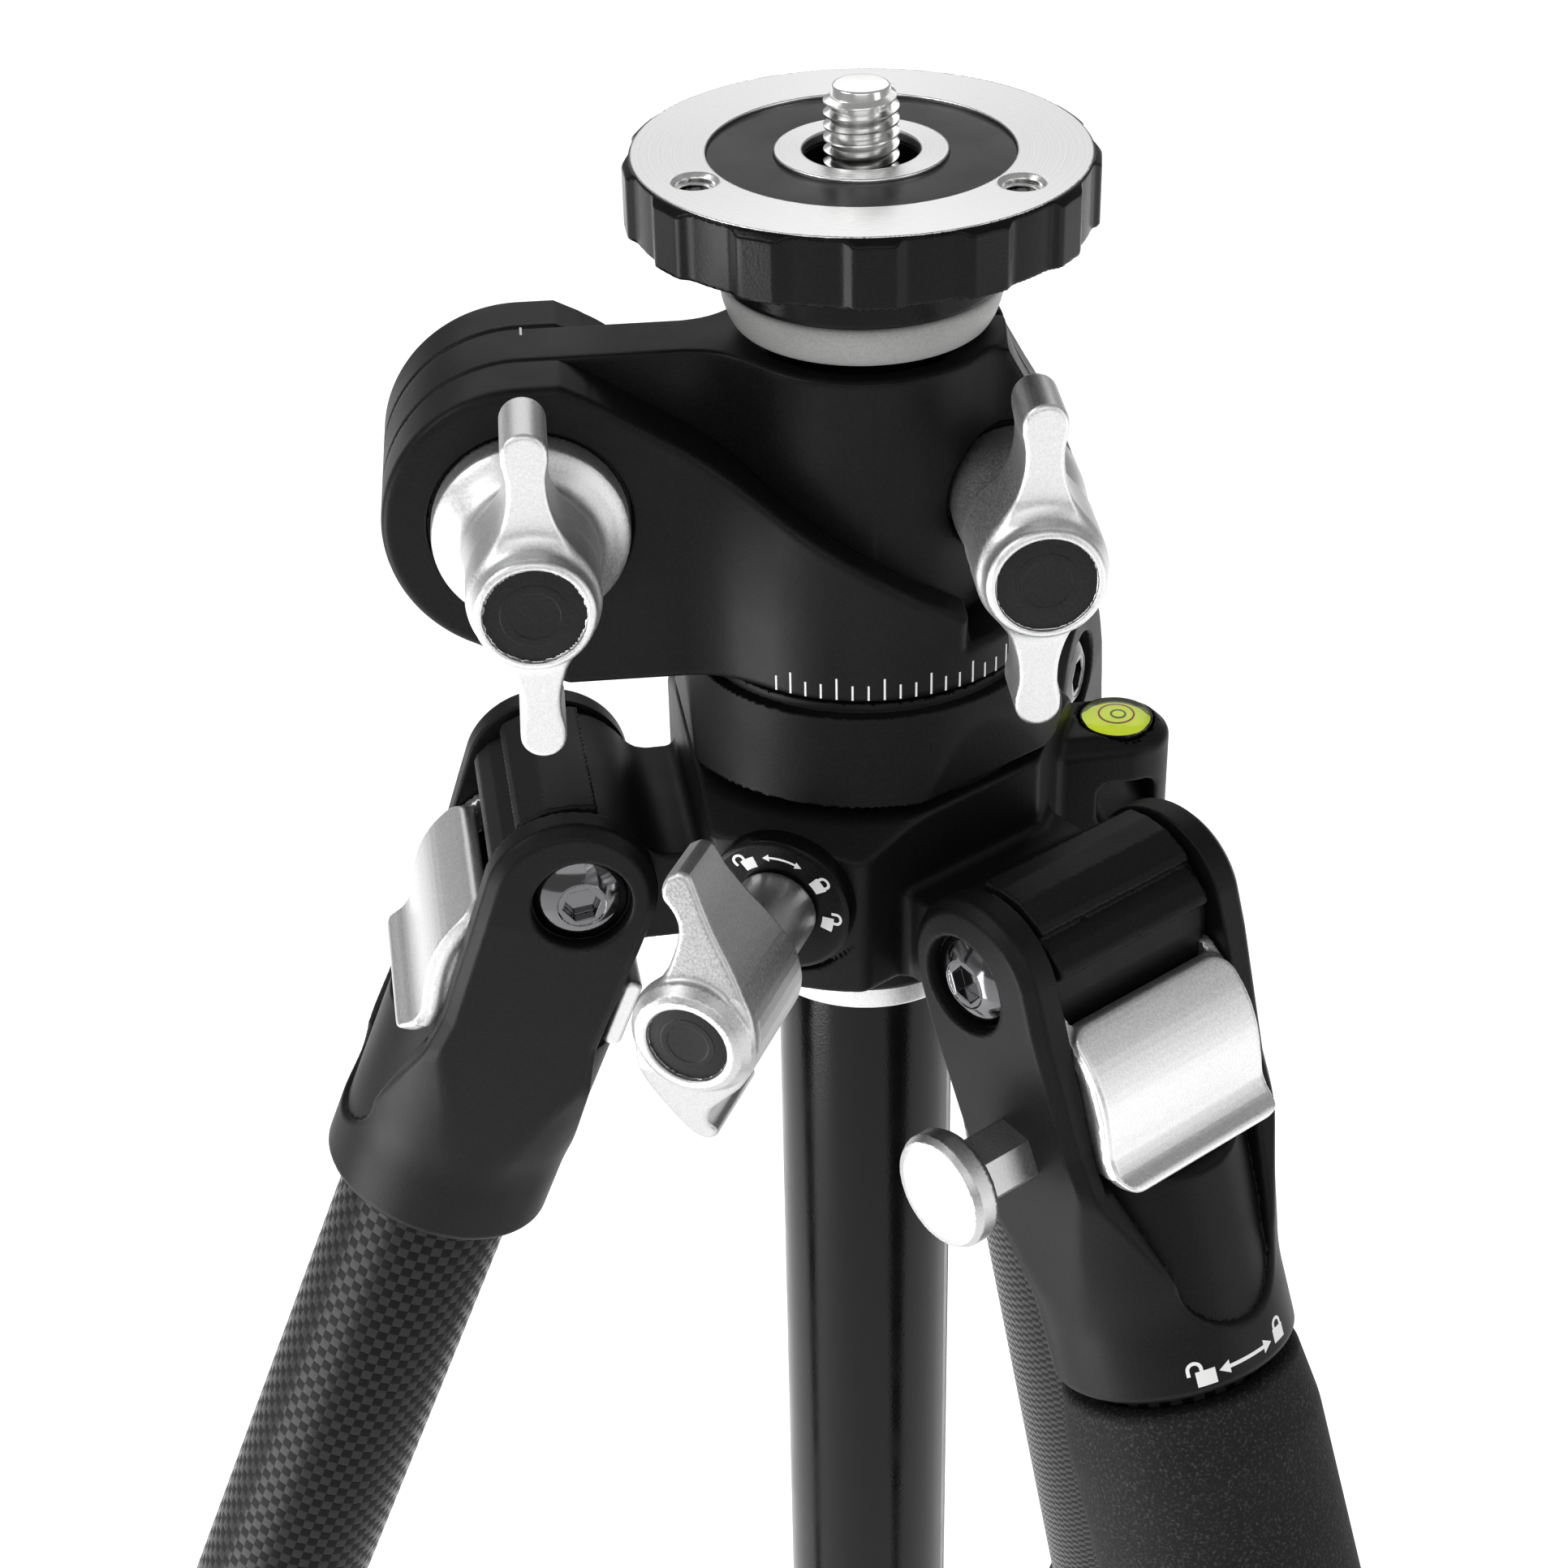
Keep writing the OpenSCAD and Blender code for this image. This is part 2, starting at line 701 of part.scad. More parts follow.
module foam_grip() {
    color(foam_grey) leg_frame(leg_azimuth("right")) difference() {
        union() {
            drum(grip_foam_r, grip_span[0] + grip_bevel, grip_span[1] - grip_bevel);
            translate([0, 0, -grip_span[0] - grip_bevel])
                cylinder(r1 = grip_foam_r, r2 = grip_end_r, h = grip_bevel);
            translate([0, 0, -grip_span[1]])
                cylinder(r1 = grip_end_r, r2 = grip_foam_r, h = grip_bevel);
        }
        drum(upper_r, grip_span[0] - cut, grip_span[1] + cut);
    }
}

module release_button() {
    color(satin_silver) leg_frame(leg_azimuth("right")) union() {
        shaft_y(button_head_r, [0, -button_depth], -button_face, -button_neck);
        shaft_y(button_shank_r, [0, -button_depth], -button_neck, -cheek_in + air);
    }
}

head_plate();
head_wheel();
head_stud();
lock_screws();
bumper_ring();
column_tube();
column_end_cap();
weight_hook();
collar();
collar_bushing();
clamp_bolt();
clamp_knob();
clamp_knob_cap();
hinge_bolt();
hinge_knob();
hinge_knob_cap();
pan_body();
pan_base_ring();
spider();
bubble_level();
retaining_ring();
pan_lock_dial();
pan_lock_screw();
pan_lock_knob();
pan_lock_cap();
foam_grip();
release_button();
for (side = leg_names) {
    yoke(side);
    leg_bolt(side);
    latch(side);
    latch_pin(side);
    upper_tube(side);
    upper_lock(side);
    middle_tube(side);
    lower_lock(side);
    lower_tube(side);
    foot(side);
}
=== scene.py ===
"""Looks of the camera tripod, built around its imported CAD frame.

Lengths inside the shape functions are millimetres, in the frame of the sub-part they describe:
the row frame, the hinge arm's, the pan lock's or a leg's. add_piece() turns them into metres.
"""
import math

import bpy
import numpy as np
from mathutils import Matrix, Vector


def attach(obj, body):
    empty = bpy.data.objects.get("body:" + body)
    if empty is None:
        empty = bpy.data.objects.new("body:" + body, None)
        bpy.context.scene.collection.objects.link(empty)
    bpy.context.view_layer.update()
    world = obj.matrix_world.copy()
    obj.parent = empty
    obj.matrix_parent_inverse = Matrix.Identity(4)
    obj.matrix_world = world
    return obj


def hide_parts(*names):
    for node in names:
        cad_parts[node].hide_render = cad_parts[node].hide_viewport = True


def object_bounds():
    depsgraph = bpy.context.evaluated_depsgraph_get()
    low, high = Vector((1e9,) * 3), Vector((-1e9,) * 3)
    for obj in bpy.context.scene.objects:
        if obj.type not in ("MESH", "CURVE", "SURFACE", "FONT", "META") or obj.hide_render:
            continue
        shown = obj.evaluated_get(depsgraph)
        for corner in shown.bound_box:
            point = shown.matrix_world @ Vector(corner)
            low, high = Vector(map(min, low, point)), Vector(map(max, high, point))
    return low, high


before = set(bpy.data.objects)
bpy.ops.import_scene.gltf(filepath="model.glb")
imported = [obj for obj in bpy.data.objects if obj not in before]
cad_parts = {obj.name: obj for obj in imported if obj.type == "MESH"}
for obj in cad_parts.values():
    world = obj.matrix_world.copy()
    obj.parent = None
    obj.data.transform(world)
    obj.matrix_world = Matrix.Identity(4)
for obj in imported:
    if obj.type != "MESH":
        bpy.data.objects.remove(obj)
CAD_BOUNDS = [list(corner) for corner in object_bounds()]

MM = 0.001
SIDES = {"left": 210.0, "right": 330.0, "rear": 90.0}
FLOOR_Z = CAD_BOUNDS[0][2]

# ---------------------------------------------------------------- local frames
ARM_AZIMUTH = 206.0
LOCK_AZIMUTH = 270.0
BRACKET_AZIMUTH = 30.0
PIVOT_OUT = 42.45
PIVOT_Z = -96.8
LEG_TILT = 21.66
LOCK_Z = -92.8


def turned(azimuth):
    return Matrix.Rotation(math.radians(azimuth), 4, "Z")


def leg_frame(azimuth):
    """X points outwards across the leg, Y along its hinge, -Z down the leg."""
    tilt = Matrix.Rotation(math.radians(-LEG_TILT), 4, "Y")
    return turned(azimuth) @ Matrix.Translation((PIVOT_OUT, 0, PIVOT_Z)) @ tilt


ROW = Matrix.Identity(4)
ARM = turned(ARM_AZIMUTH)
BRACKET = turned(BRACKET_AZIMUTH)
# The pan lock's frame has X outwards along the lock's axis.
LOCK = turned(LOCK_AZIMUTH) @ Matrix.Translation((0, 0, LOCK_Z))


# ---------------------------------------------------------------- distance fields
def length(*parts):
    return np.sqrt(sum(part * part for part in parts))


def join(a, b, fillet):
    """Union with a fillet between the two shapes."""
    blend = np.maximum(fillet - np.abs(a - b), 0) / fillet
    return np.minimum(a, b) - blend * blend * fillet / 4


def meet(a, b, edge=0.8):
    """Intersection with a rounded edge."""
    return -join(-a, -b, edge)


def carve(a, b, edge=0.8):
    """Shape a with shape b cut out of it, and a rounded edge."""
    return -join(-a, b, edge)


def bevelled(a, b, width):
    """Intersection whose edge is a flat bevel that takes width off each face."""
    return meet(meet(a, b, 0.15), (a + b + width) * 0.7071, 0.3)


def between(t, low, high):
    return np.maximum(low - t, t - high)


def thick(outline, span, edge=0.5):
    """A flat outline's distance and a span's distance, joined with round edges of radius edge."""
    a = outline + edge
    b = span + edge
    return np.minimum(np.maximum(a, b), 0) + length(np.maximum(a, 0), np.maximum(b, 0)) - edge


def rectangle(u, v, low, high, corner=0.0):
    """Distance to an upright rectangle with round corners, in a plane."""
    a = np.abs(u - (low[0] + high[0]) / 2) - (high[0] - low[0]) / 2 + corner
    b = np.abs(v - (low[1] + high[1]) / 2) - (high[1] - low[1]) / 2 + corner
    return np.minimum(np.maximum(a, b), 0) + length(np.maximum(a, 0), np.maximum(b, 0)) - corner


def polygon(u, v, points):
    """Signed distance to a closed polygon in a plane."""
    nearest = np.full(u.shape, np.inf)
    sign = np.ones(u.shape)
    points = np.asarray(points, float)
    for (ax, ay), (bx, by) in zip(points, np.roll(points, 1, axis=0)):
        ex, ey = bx - ax, by - ay
        wx, wy = u - ax, v - ay
        t = np.clip((wx * ex + wy * ey) / (ex * ex + ey * ey), 0, 1)
        nearest = np.minimum(nearest, (wx - ex * t) ** 2 + (wy - ey * t) ** 2)
        above, below, left = v >= ay, v < by, ex * wy > ey * wx
        crosses = (above & below & left) | (~above & ~below & ~left)
        sign = np.where(crosses, -sign, sign)
    return sign * np.sqrt(nearest)


def stroke(u, v, points, radius):
    """Distance to a line of round-ended strokes through points."""
    nearest = np.full(u.shape, np.inf)
    for (ax, ay), (bx, by) in zip(points[:-1], points[1:]):
        ex, ey = bx - ax, by - ay
        t = np.clip(((u - ax) * ex + (v - ay) * ey) / (ex * ex + ey * ey), 0, 1)
        nearest = np.minimum(nearest, (u - ax - ex * t) ** 2 + (v - ay - ey * t) ** 2)
    return np.sqrt(nearest) - radius


def hexagon(u, v, across_flats):
    faces = [np.abs(u * math.cos(a) + v * math.sin(a)) for a in np.radians([0, 60, 120])]
    return np.maximum.reduce(faces) - across_flats / 2


def smooth_line(points, steps=6):
    """Points along a Catmull-Rom curve through the given ones."""
    p = np.array([points[0], *points, points[-1]], float)
    line = []
    for a, b, c, d in zip(p[:-3], p[1:-2], p[2:-1], p[3:]):
        for t in np.arange(steps) / steps:
            line.append(0.5 * (2 * b + (c - a) * t + (2 * a - 5 * b + 4 * c - d) * t ** 2
                               + (3 * b - a - 3 * c + d) * t ** 3))
    line.append(p[-1])
    return np.array(line)


# ---------------------------------------------------------------- meshes
CORNERS = np.array([[i, j, k] for i in (0, 1) for j in (0, 1) for k in (0, 1)])
EDGES = [(a, b) for a in range(8) for b in range(a + 1, 8)
         if np.abs(CORNERS[a] - CORNERS[b]).sum() == 1]
NORMAL_STEP = 0.06


def gradient(field, points, step=NORMAL_STEP):
    slopes = []
    for axis in range(3):
        shift = np.zeros(3)
        shift[axis] = step
        slopes.append(field(*(points + shift).T) - field(*(points - shift).T))
    return np.array(slopes).T / (2 * step)


def settle(field, points, cell):
    """Moves points onto the field's zero surface."""
    for _ in range(3):
        slope = gradient(field, points)
        size = np.maximum((slope ** 2).sum(axis=1, keepdims=True), 0.2)
        move = field(*points.T)[:, None] * slope / size
        points = points - np.clip(move, -cell / 2, cell / 2)
    return points


def net(field, low, high, cell):
    """Vertices, quads and normals of the field's zero surface inside a box."""
    low = np.array(low, float) - 1.5 * cell
    counts = np.ceil((np.array(high, float) + 1.5 * cell - low) / cell).astype(int) + 1
    axes = [low[i] + cell * np.arange(counts[i]) for i in range(3)]
    values = field(*np.meshgrid(*axes, indexing="ij"))
    inside = values < 0
    filled = np.zeros(counts - 1, int)
    for i, j, k in CORNERS:
        filled += inside[i:counts[0] - 1 + i, j:counts[1] - 1 + j, k:counts[2] - 1 + k]
    cells = np.argwhere((filled > 0) & (filled < 8))
    at = [values[tuple((cells + corner).T)] for corner in CORNERS]
    total = np.zeros((len(cells), 3))
    hits = np.zeros(len(cells))
    for a, b in EDGES:
        crossing = (at[a] < 0) != (at[b] < 0)
        gap = np.where(crossing, at[a] - at[b], 1)
        t = np.where(crossing, at[a] / gap, 0)[:, None]
        total += crossing[:, None] * (CORNERS[a] * (1 - t) + CORNERS[b] * t)
        hits += crossing
    points = low + (cells + total / hits[:, None]) * cell
    points = settle(field, points, cell)
    number = np.full(counts - 1, -1)
    number[tuple(cells.T)] = np.arange(len(cells))
    quads = []
    for axis in range(3):
        other = [(axis + 1) % 3, (axis + 2) % 3]
        here = np.take(inside, range(counts[axis] - 1), axis)
        there = np.take(inside, range(1, counts[axis]), axis)
        for first in (True, False):
            spots = np.argwhere((here == first) & (there != first))
            spots = spots[(spots[:, other] > 0).all(axis=1)]
            spots = spots[(spots[:, other] < (counts - 1)[other]).all(axis=1)]
            ring = []
            for shift in ((0, 0), (-1, 0), (-1, -1), (0, -1)):
                spot = spots.copy()
                spot[:, other[0]] += shift[0]
                spot[:, other[1]] += shift[1]
                ring.append(number[tuple(spot.T)])
            ring = np.array(ring).T
            quads.append(ring if first else ring[:, ::-1])
    normals = gradient(field, points)
    normals /= np.maximum(np.linalg.norm(normals, axis=1, keepdims=True), 1e-9)
    return points, np.concatenate(quads), normals


def mesh_of(points, faces, place, normals=None, sharp=35.0):
    """A Blender mesh in metres from millimetre points in a local frame."""
    mesh = bpy.data.meshes.new("shape")
    world = np.array(place)[:3, :3]
    origin = np.array(place)[:3, 3]
    placed = (np.asarray(points, float) @ world.T + origin) * MM
    mesh.from_pydata(placed.tolist(), [], [list(map(int, face)) for face in faces])
    mesh.shade_smooth()
    if normals is None:
        mesh.set_sharp_from_angle(angle=math.radians(sharp))
    else:
        mesh.normals_split_custom_set_from_vertices((normals @ world.T).tolist())
    return mesh


def add_piece(name, mesh, body, material, replaces=()):
    piece = bpy.data.objects.new(name, mesh)
    bpy.context.collection.objects.link(piece)
    piece.data.materials.append(material)
    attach(piece, body)
    if replaces:
        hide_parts(*replaces)
    return piece


def moulded(name, field, low, high, cell, place, body, material, replaces=()):
    """A piece whose surface is a distance field's zero surface."""
    points, quads, normals = net(field, low, high, cell)
    return add_piece(name, mesh_of(points, quads, place, normals), body, material, replaces)


def rounded(profile, radius, steps=4):
    """A profile with its corners rounded, each within half of its shorter neighbour."""
    p = [np.array(point, float) for point in profile]
    line = [p[0]]
    for before, corner, after in zip(p[:-2], p[1:-1], p[2:]):
        a, b = before - corner, after - corner
        reach = min(radius, 0.45 * np.linalg.norm(a), 0.45 * np.linalg.norm(b))
        start = corner + a / np.linalg.norm(a) * reach
        end = corner + b / np.linalg.norm(b) * reach
        for t in np.arange(steps + 1) / steps:
            line.append(start * (1 - t) ** 2 + 2 * corner * t * (1 - t) + end * t ** 2)
    line.append(p[-1])
    return line


def lathe(profile, segments=128, round_corners=0.3, closed=True):
    """Points and faces of a profile of (radius, z) turned about Z; closed joins its ends."""
    ring = [profile[-1], *profile, profile[0]] if closed else profile
    line = rounded(ring, round_corners)
    line = line[1:-1] if closed else line
    turn = np.radians(np.arange(segments) * 360 / segments)
    points = [(r * math.cos(a), r * math.sin(a), z) for r, z in line for a in turn]
    rows = len(line)
    faces = []
    for row in range(rows if closed else rows - 1):
        for step in range(segments):
            after = (step + 1) % segments
            above = (row + 1) % rows
            faces.append((row * segments + step, row * segments + after,
                          above * segments + after, above * segments + step))
    return np.array(points), faces


def turned_piece(name, profile, place, body, slot, material, replaces=(), **shape):
    points, faces = lathe(profile, **shape)
    return add_piece(name, mesh_of(points, faces, place), body, material, replaces)


# ---------------------------------------------------------------- materials
class Nodes:
    """A material's node tree, with short ways to add to it."""

    def __init__(self, name, color, roughness, metallic=0.0, **settings):
        self.material = bpy.data.materials.new(name)
        self.material.use_nodes = True
        self.tree = self.material.node_tree
        self.shader = self.tree.nodes["Principled BSDF"]
        self.shader.inputs["Base Color"].default_value = (*color, 1)
        self.shader.inputs["Roughness"].default_value = roughness
        self.shader.inputs["Metallic"].default_value = metallic
        for socket, value in settings.items():
            self.shader.inputs[socket.replace("_", " ")].default_value = value
        self.material.diffuse_color = (*color, 1)

    def add(self, kind, **values):
        node = self.tree.nodes.new(kind)
        for key, value in values.items():
            socket = key.replace("_", " ")
            if socket in node.inputs:
                node.inputs[socket].default_value = value
            else:
                setattr(node, key, value)
        return node

    def link(self, out, to):
        self.tree.links.new(out, to)

    def place(self):
        return self.add("ShaderNodeTexCoord").outputs["Object"]

    def noise(self, scale, detail=2.0, coordinates=None):
        node = self.add("ShaderNodeTexNoise", Scale=scale, Detail=detail)
        self.link(coordinates or self.place(), node.inputs["Vector"])
        return node.outputs["Fac"]

    def spread(self, value, low, high, low_from=0.3, low_to=0.7):
        """The value mapped from the middle of its range onto low..high."""
        node = self.add("ShaderNodeMapRange")
        self.link(value, node.inputs["Value"])
        for socket, number in zip(("From Min", "From Max", "To Min", "To Max"),
                                  (low_from, low_to, low, high)):
            node.inputs[socket].default_value = number
        return node.outputs["Result"]

    def vary_roughness(self, value, low, high):
        self.link(self.spread(value, low, high), self.shader.inputs["Roughness"])

    def vary_color(self, value, low, high, low_from=0.3, low_to=0.7):
        node = self.add("ShaderNodeMix", data_type="RGBA")
        self.link(self.spread(value, 0, 1, low_from, low_to), node.inputs["Factor"])
        node.inputs["A"].default_value = (*low, 1)
        node.inputs["B"].default_value = (*high, 1)
        self.link(node.outputs["Result"], self.shader.inputs["Base Color"])

    def bump(self, height, depth, strength=1.0):
        node = self.add("ShaderNodeBump", Distance=depth, Strength=strength)
        self.link(height, node.inputs["Height"])
        self.link(node.outputs["Normal"], self.shader.inputs["Normal"])
        return node


GRAIN = 2600.0              # noise scale of a powder coat or bead-blasted skin, per metre


def casting(name, color=(0.0048, 0.0048, 0.005), roughness=0.44, specular=0.15):
    """Black anodised casting with the fine grain of a blasted skin."""
    nodes = Nodes(name, color, roughness, Specular_IOR_Level=specular)
    grain = nodes.noise(GRAIN)
    nodes.vary_roughness(nodes.noise(90.0, 4.0), roughness - 0.05, roughness + 0.06)
    nodes.vary_color(grain, tuple(c * 0.8 for c in color), tuple(c * 1.5 for c in color))
    nodes.bump(grain, 0.00006, 0.35)
    return nodes.material


def blasted_silver(name, color, roughness):
    """Silver-anodised aluminium with a bead-blasted sparkle."""
    nodes = Nodes(name, color, roughness, metallic=1.0)
    grain = nodes.noise(GRAIN * 1.2)
    nodes.vary_color(grain, tuple(c * 0.9 for c in color), tuple(c * 1.1 for c in color))
    nodes.vary_roughness(grain, roughness - 0.04, roughness + 0.06)
    nodes.bump(grain, 0.00005, 0.3)
    return nodes.material


def turned_plate():
    """Bright face turned on a lathe: fine rings about the column's axis."""
    nodes = Nodes("turned_plate", (0.8, 0.8, 0.8), 0.26, metallic=1.0, Anisotropic=0.7)
    tangent = nodes.add("ShaderNodeTangent", direction_type="RADIAL", axis="Z")
    nodes.link(tangent.outputs["Tangent"], nodes.shader.inputs["Tangent"])
    split = nodes.add("ShaderNodeSeparateXYZ")
    nodes.link(nodes.place(), split.inputs["Vector"])
    flat = nodes.add("ShaderNodeCombineXYZ")
    nodes.link(split.outputs["X"], flat.inputs["X"])
    nodes.link(split.outputs["Y"], flat.inputs["Y"])
    radius = nodes.add("ShaderNodeVectorMath", operation="LENGTH")
    nodes.link(flat.outputs["Vector"], radius.inputs[0])
    rings = nodes.add("ShaderNodeTexNoise", noise_dimensions="1D", Scale=5200.0, Detail=3.0)
    nodes.link(radius.outputs["Value"], rings.inputs["W"])
    nodes.vary_roughness(rings.outputs["Fac"], 0.24, 0.32)
    nodes.bump(rings.outputs["Fac"], 0.00002, 0.05)
    return nodes.material


def plain_metal(name, color, roughness, scale=400.0):
    nodes = Nodes(name, color, roughness, metallic=1.0)
    nodes.vary_roughness(nodes.noise(scale, 3.0), roughness * 0.8, roughness * 1.25)
    return nodes.material


def satin_plastic(name, color, roughness, scale=1500.0, depth=0.00003):
    nodes = Nodes(name, color, roughness)
    grain = nodes.noise(scale)
    nodes.vary_roughness(grain, roughness - 0.05, roughness + 0.06)
    nodes.bump(grain, depth, 0.3)
    return nodes.material


def bumper_rubber():
    nodes = Nodes("bumper_rubber", (0.33, 0.33, 0.325), 0.48, Subsurface_Weight=0.35,
                  Subsurface_Radius=(0.003, 0.003, 0.003), Subsurface_Scale=1.0)
    specks = nodes.noise(3000.0)
    nodes.vary_color(specks, (0.31, 0.31, 0.305), (0.38, 0.38, 0.375))
    nodes.bump(specks, 0.00002, 0.2)
    return nodes.material


def foam_skin():
    nodes = Nodes("foam_skin", (0.01, 0.01, 0.0103), 0.75, Specular_IOR_Level=0.22)
    pores = nodes.add("ShaderNodeTexVoronoi", Scale=1700.0)
    nodes.link(nodes.place(), pores.inputs["Vector"])
    specks = nodes.noise(2400.0, 3.0)
    nodes.vary_color(specks, (0.007, 0.007, 0.0072), (0.06, 0.06, 0.061), 0.52, 0.8)
    nodes.bump(pores.outputs["Distance"], 0.0001, 0.45)
    return nodes.material


def leg_coordinates(nodes, azimuth):
    """Distance along a leg's tube and around it, both in metres, from object coordinates."""
    inverse = leg_frame(azimuth).to_3x3().transposed()
    start = Vector((PIVOT_OUT * math.cos(math.radians(azimuth)),
                    PIVOT_OUT * math.sin(math.radians(azimuth)), PIVOT_Z)) * MM
    shift = nodes.add("ShaderNodeVectorMath", operation="SUBTRACT")
    nodes.link(nodes.place(), shift.inputs[0])
    shift.inputs[1].default_value = start
    local = []
    for row in inverse:
        dot = nodes.add("ShaderNodeVectorMath", operation="DOT_PRODUCT")
        nodes.link(shift.outputs["Vector"], dot.inputs[0])
        dot.inputs[1].default_value = row
        local.append(dot.outputs["Value"])
    angle = nodes.add("ShaderNodeMath", operation="ARCTAN2")
    nodes.link(local[1], angle.inputs[0])
    nodes.link(local[0], angle.inputs[1])
    return local[2], angle.outputs["Value"]


def carbon(name, azimuth, radius):
    """Twill of flat carbon tows, wound about a leg's tube."""
    nodes = Nodes(name, (0.006, 0.006, 0.0063), 0.3, Specular_IOR_Level=0.09)
    along, angle = leg_coordinates(nodes, azimuth)
    tow = 0.0016
    across = round(2 * math.pi * radius * MM / tow / 2) * 2 / (2 * math.pi)
    u = nodes.add("ShaderNodeMath", operation="MULTIPLY")
    nodes.link(angle, u.inputs[0])
    u.inputs[1].default_value = across
    v = nodes.add("ShaderNodeMath", operation="DIVIDE")
    nodes.link(along, v.inputs[0])
    v.inputs[1].default_value = tow

    def wave(value, turns, shift=0.0):
        node = nodes.add("ShaderNodeMath", operation="MULTIPLY_ADD")
        nodes.link(value, node.inputs[0])
        node.inputs[1].default_value = turns * math.pi
        node.inputs[2].default_value = shift
        out = nodes.add("ShaderNodeMath", operation="SINE")
        nodes.link(node.outputs[0], out.inputs[0])
        return out.outputs[0]

    def combine(operation, a, b):
        node = nodes.add("ShaderNodeMath", operation=operation)
        for socket, value in zip(node.inputs, (a, b)):
            if isinstance(value, (int, float)):
                socket.default_value = value
            else:
                nodes.link(value, socket)
        return node.outputs[0]

    checker = combine("MULTIPLY", wave(u.outputs[0], 1.0), wave(v.outputs[0], 1.0))
    warp_up_painted_sheen = combine("GREATER_THAN", checker, 0.0)
    rounding = combine("MULTIPLY", combine("ABSOLUTE", wave(u.outputs[0], 1.0), 0.0),
                       combine("ABSOLUTE", wave(v.outputs[0], 1.0), 0.0))
    # Painted sheen: the tows that lie on top get a lighter colour than those beneath, standing in for the sheen that
    # light gives them.
    nodes.vary_color(warp_up_painted_sheen, (0.0015, 0.0015, 0.0016), (0.022, 0.022, 0.0225), 0.0, 1.0)
    mix = nodes.add("ShaderNodeMapRange")
    nodes.link(warp_up_painted_sheen, mix.inputs["Value"])
    mix.inputs["To Min"].default_value = 0.5
    mix.inputs["To Max"].default_value = 0.24
    nodes.link(mix.outputs["Result"], nodes.shader.inputs["Roughness"])
    nodes.bump(combine("POWER", rounding, 0.5), 0.00008, 0.3)
    return nodes.material


def level_liquid_painted_glow():
    nodes = Nodes("level_liquid_painted_glow", (0.6, 0.7, 0.02), 0.25, IOR=1.4)
    # Painted light: the emission makes the liquid glow, standing in for the light that the clear dome above it keeps
    # out.
    nodes.shader.inputs["Emission Color"].default_value = (0.62, 0.74, 0.02, 1)
    nodes.shader.inputs["Emission Strength"].default_value = 0.6
    nodes.vary_color(nodes.noise(300.0), (0.52, 0.62, 0.015), (0.68, 0.78, 0.03))
    return nodes.material


def clear_dome():
    nodes = Nodes("clear_dome", (0.92, 1.0, 0.85), 0.03, Transmission_Weight=1.0, IOR=1.45)
    nodes.vary_roughness(nodes.noise(500.0), 0.02, 0.05)
    return nodes.material


def printed_white():
    nodes = Nodes("printed_white", (0.86, 0.86, 0.85), 0.5)
    nodes.vary_roughness(nodes.noise(1500.0), 0.45, 0.6)
    return nodes.material


def ball_rubber(name):
    nodes = Nodes(name, (0.017, 0.017, 0.017), 0.66)
    grain = nodes.noise(1100.0, 3.0)
    nodes.vary_color(grain, (0.012, 0.012, 0.012), (0.032, 0.032, 0.032))
    nodes.bump(grain, 0.00007, 0.4)
    return nodes.material


CASTING = casting("casting_black")
MACHINED = casting("machined_black", (0.0035, 0.0035, 0.0036), 0.26, 0.14)
SILVER = blasted_silver("blasted_silver", (0.76, 0.76, 0.765), 0.42)
# Painted light: a slightly lighter copy of the blasted silver, matched to how bright the latches look under the lamps.
LATCH_SILVER_PAINTED_LIGHT = blasted_silver("latch_silver_painted_light", (0.78, 0.78, 0.785), 0.42)
# Painted shade: a darker copy of the blasted silver for the pan lock and the release button, so that their faces don't
# blaze in the low left panel's light.
LOCK_SILVER_PAINTED_SHADE = blasted_silver("lock_silver_painted_shade", (0.56, 0.56, 0.565), 0.4)
PLATE = turned_plate()
STEEL = plain_metal("bright_steel", (0.95, 0.95, 0.94), 0.2)
DARK_CHROME = plain_metal("black_chrome", (0.15, 0.15, 0.155), 0.09)
BUMPER = bumper_rubber()
COLUMN = casting("column_black", (0.003, 0.003, 0.0031), 0.18, 0.16)
INSERT = casting("insert_black", (0.009, 0.009, 0.0094), 0.4, 0.18)
BEARING = satin_plastic("bearing_plastic", (0.02, 0.02, 0.02), 0.5)
PRINT = printed_white()
FOAM = foam_skin()
LOCK_RUBBER = ball_rubber("lock_rubber")
FOOT_RUBBER = ball_rubber("foot_rubber")
LIQUID_PAINTED_GLOW = level_liquid_painted_glow()
# Painted shade: a darker copy of the liquid's yellow-green, for the dark outline that light bending at the bubble's
# edge gives.
BUBBLE_PAINTED_OUTLINE = satin_plastic("bubble_painted_outline", (0.12, 0.16, 0.01), 0.3)
DOME = clear_dome()


# ---------------------------------------------------------------- camera, light and floor
CAMERA_AT = (0.12023, -0.33825, 0.13635)
CAMERA_YAW = -21.391        # from +Y towards +X, in degrees
CAMERA_DOWN = 32.732
CAMERA_ROLL = 1.274
LENS = 69.05                # on a 36 mm wide sensor


def camera_matrix():
    yaw, down, roll = (math.radians(a) for a in (CAMERA_YAW, CAMERA_DOWN, CAMERA_ROLL))
    forward = Vector((math.sin(yaw) * math.cos(down), math.cos(yaw) * math.cos(down), -math.sin(down)))
    right = Vector((math.cos(yaw), -math.sin(yaw), 0))
    below = forward.cross(right)
    x = right * math.cos(roll) + below * math.sin(roll)
    y = right * math.sin(roll) - below * math.cos(roll)
    matrix = Matrix((x, y, -forward)).transposed().to_4x4()
    matrix.translation = CAMERA_AT
    return matrix


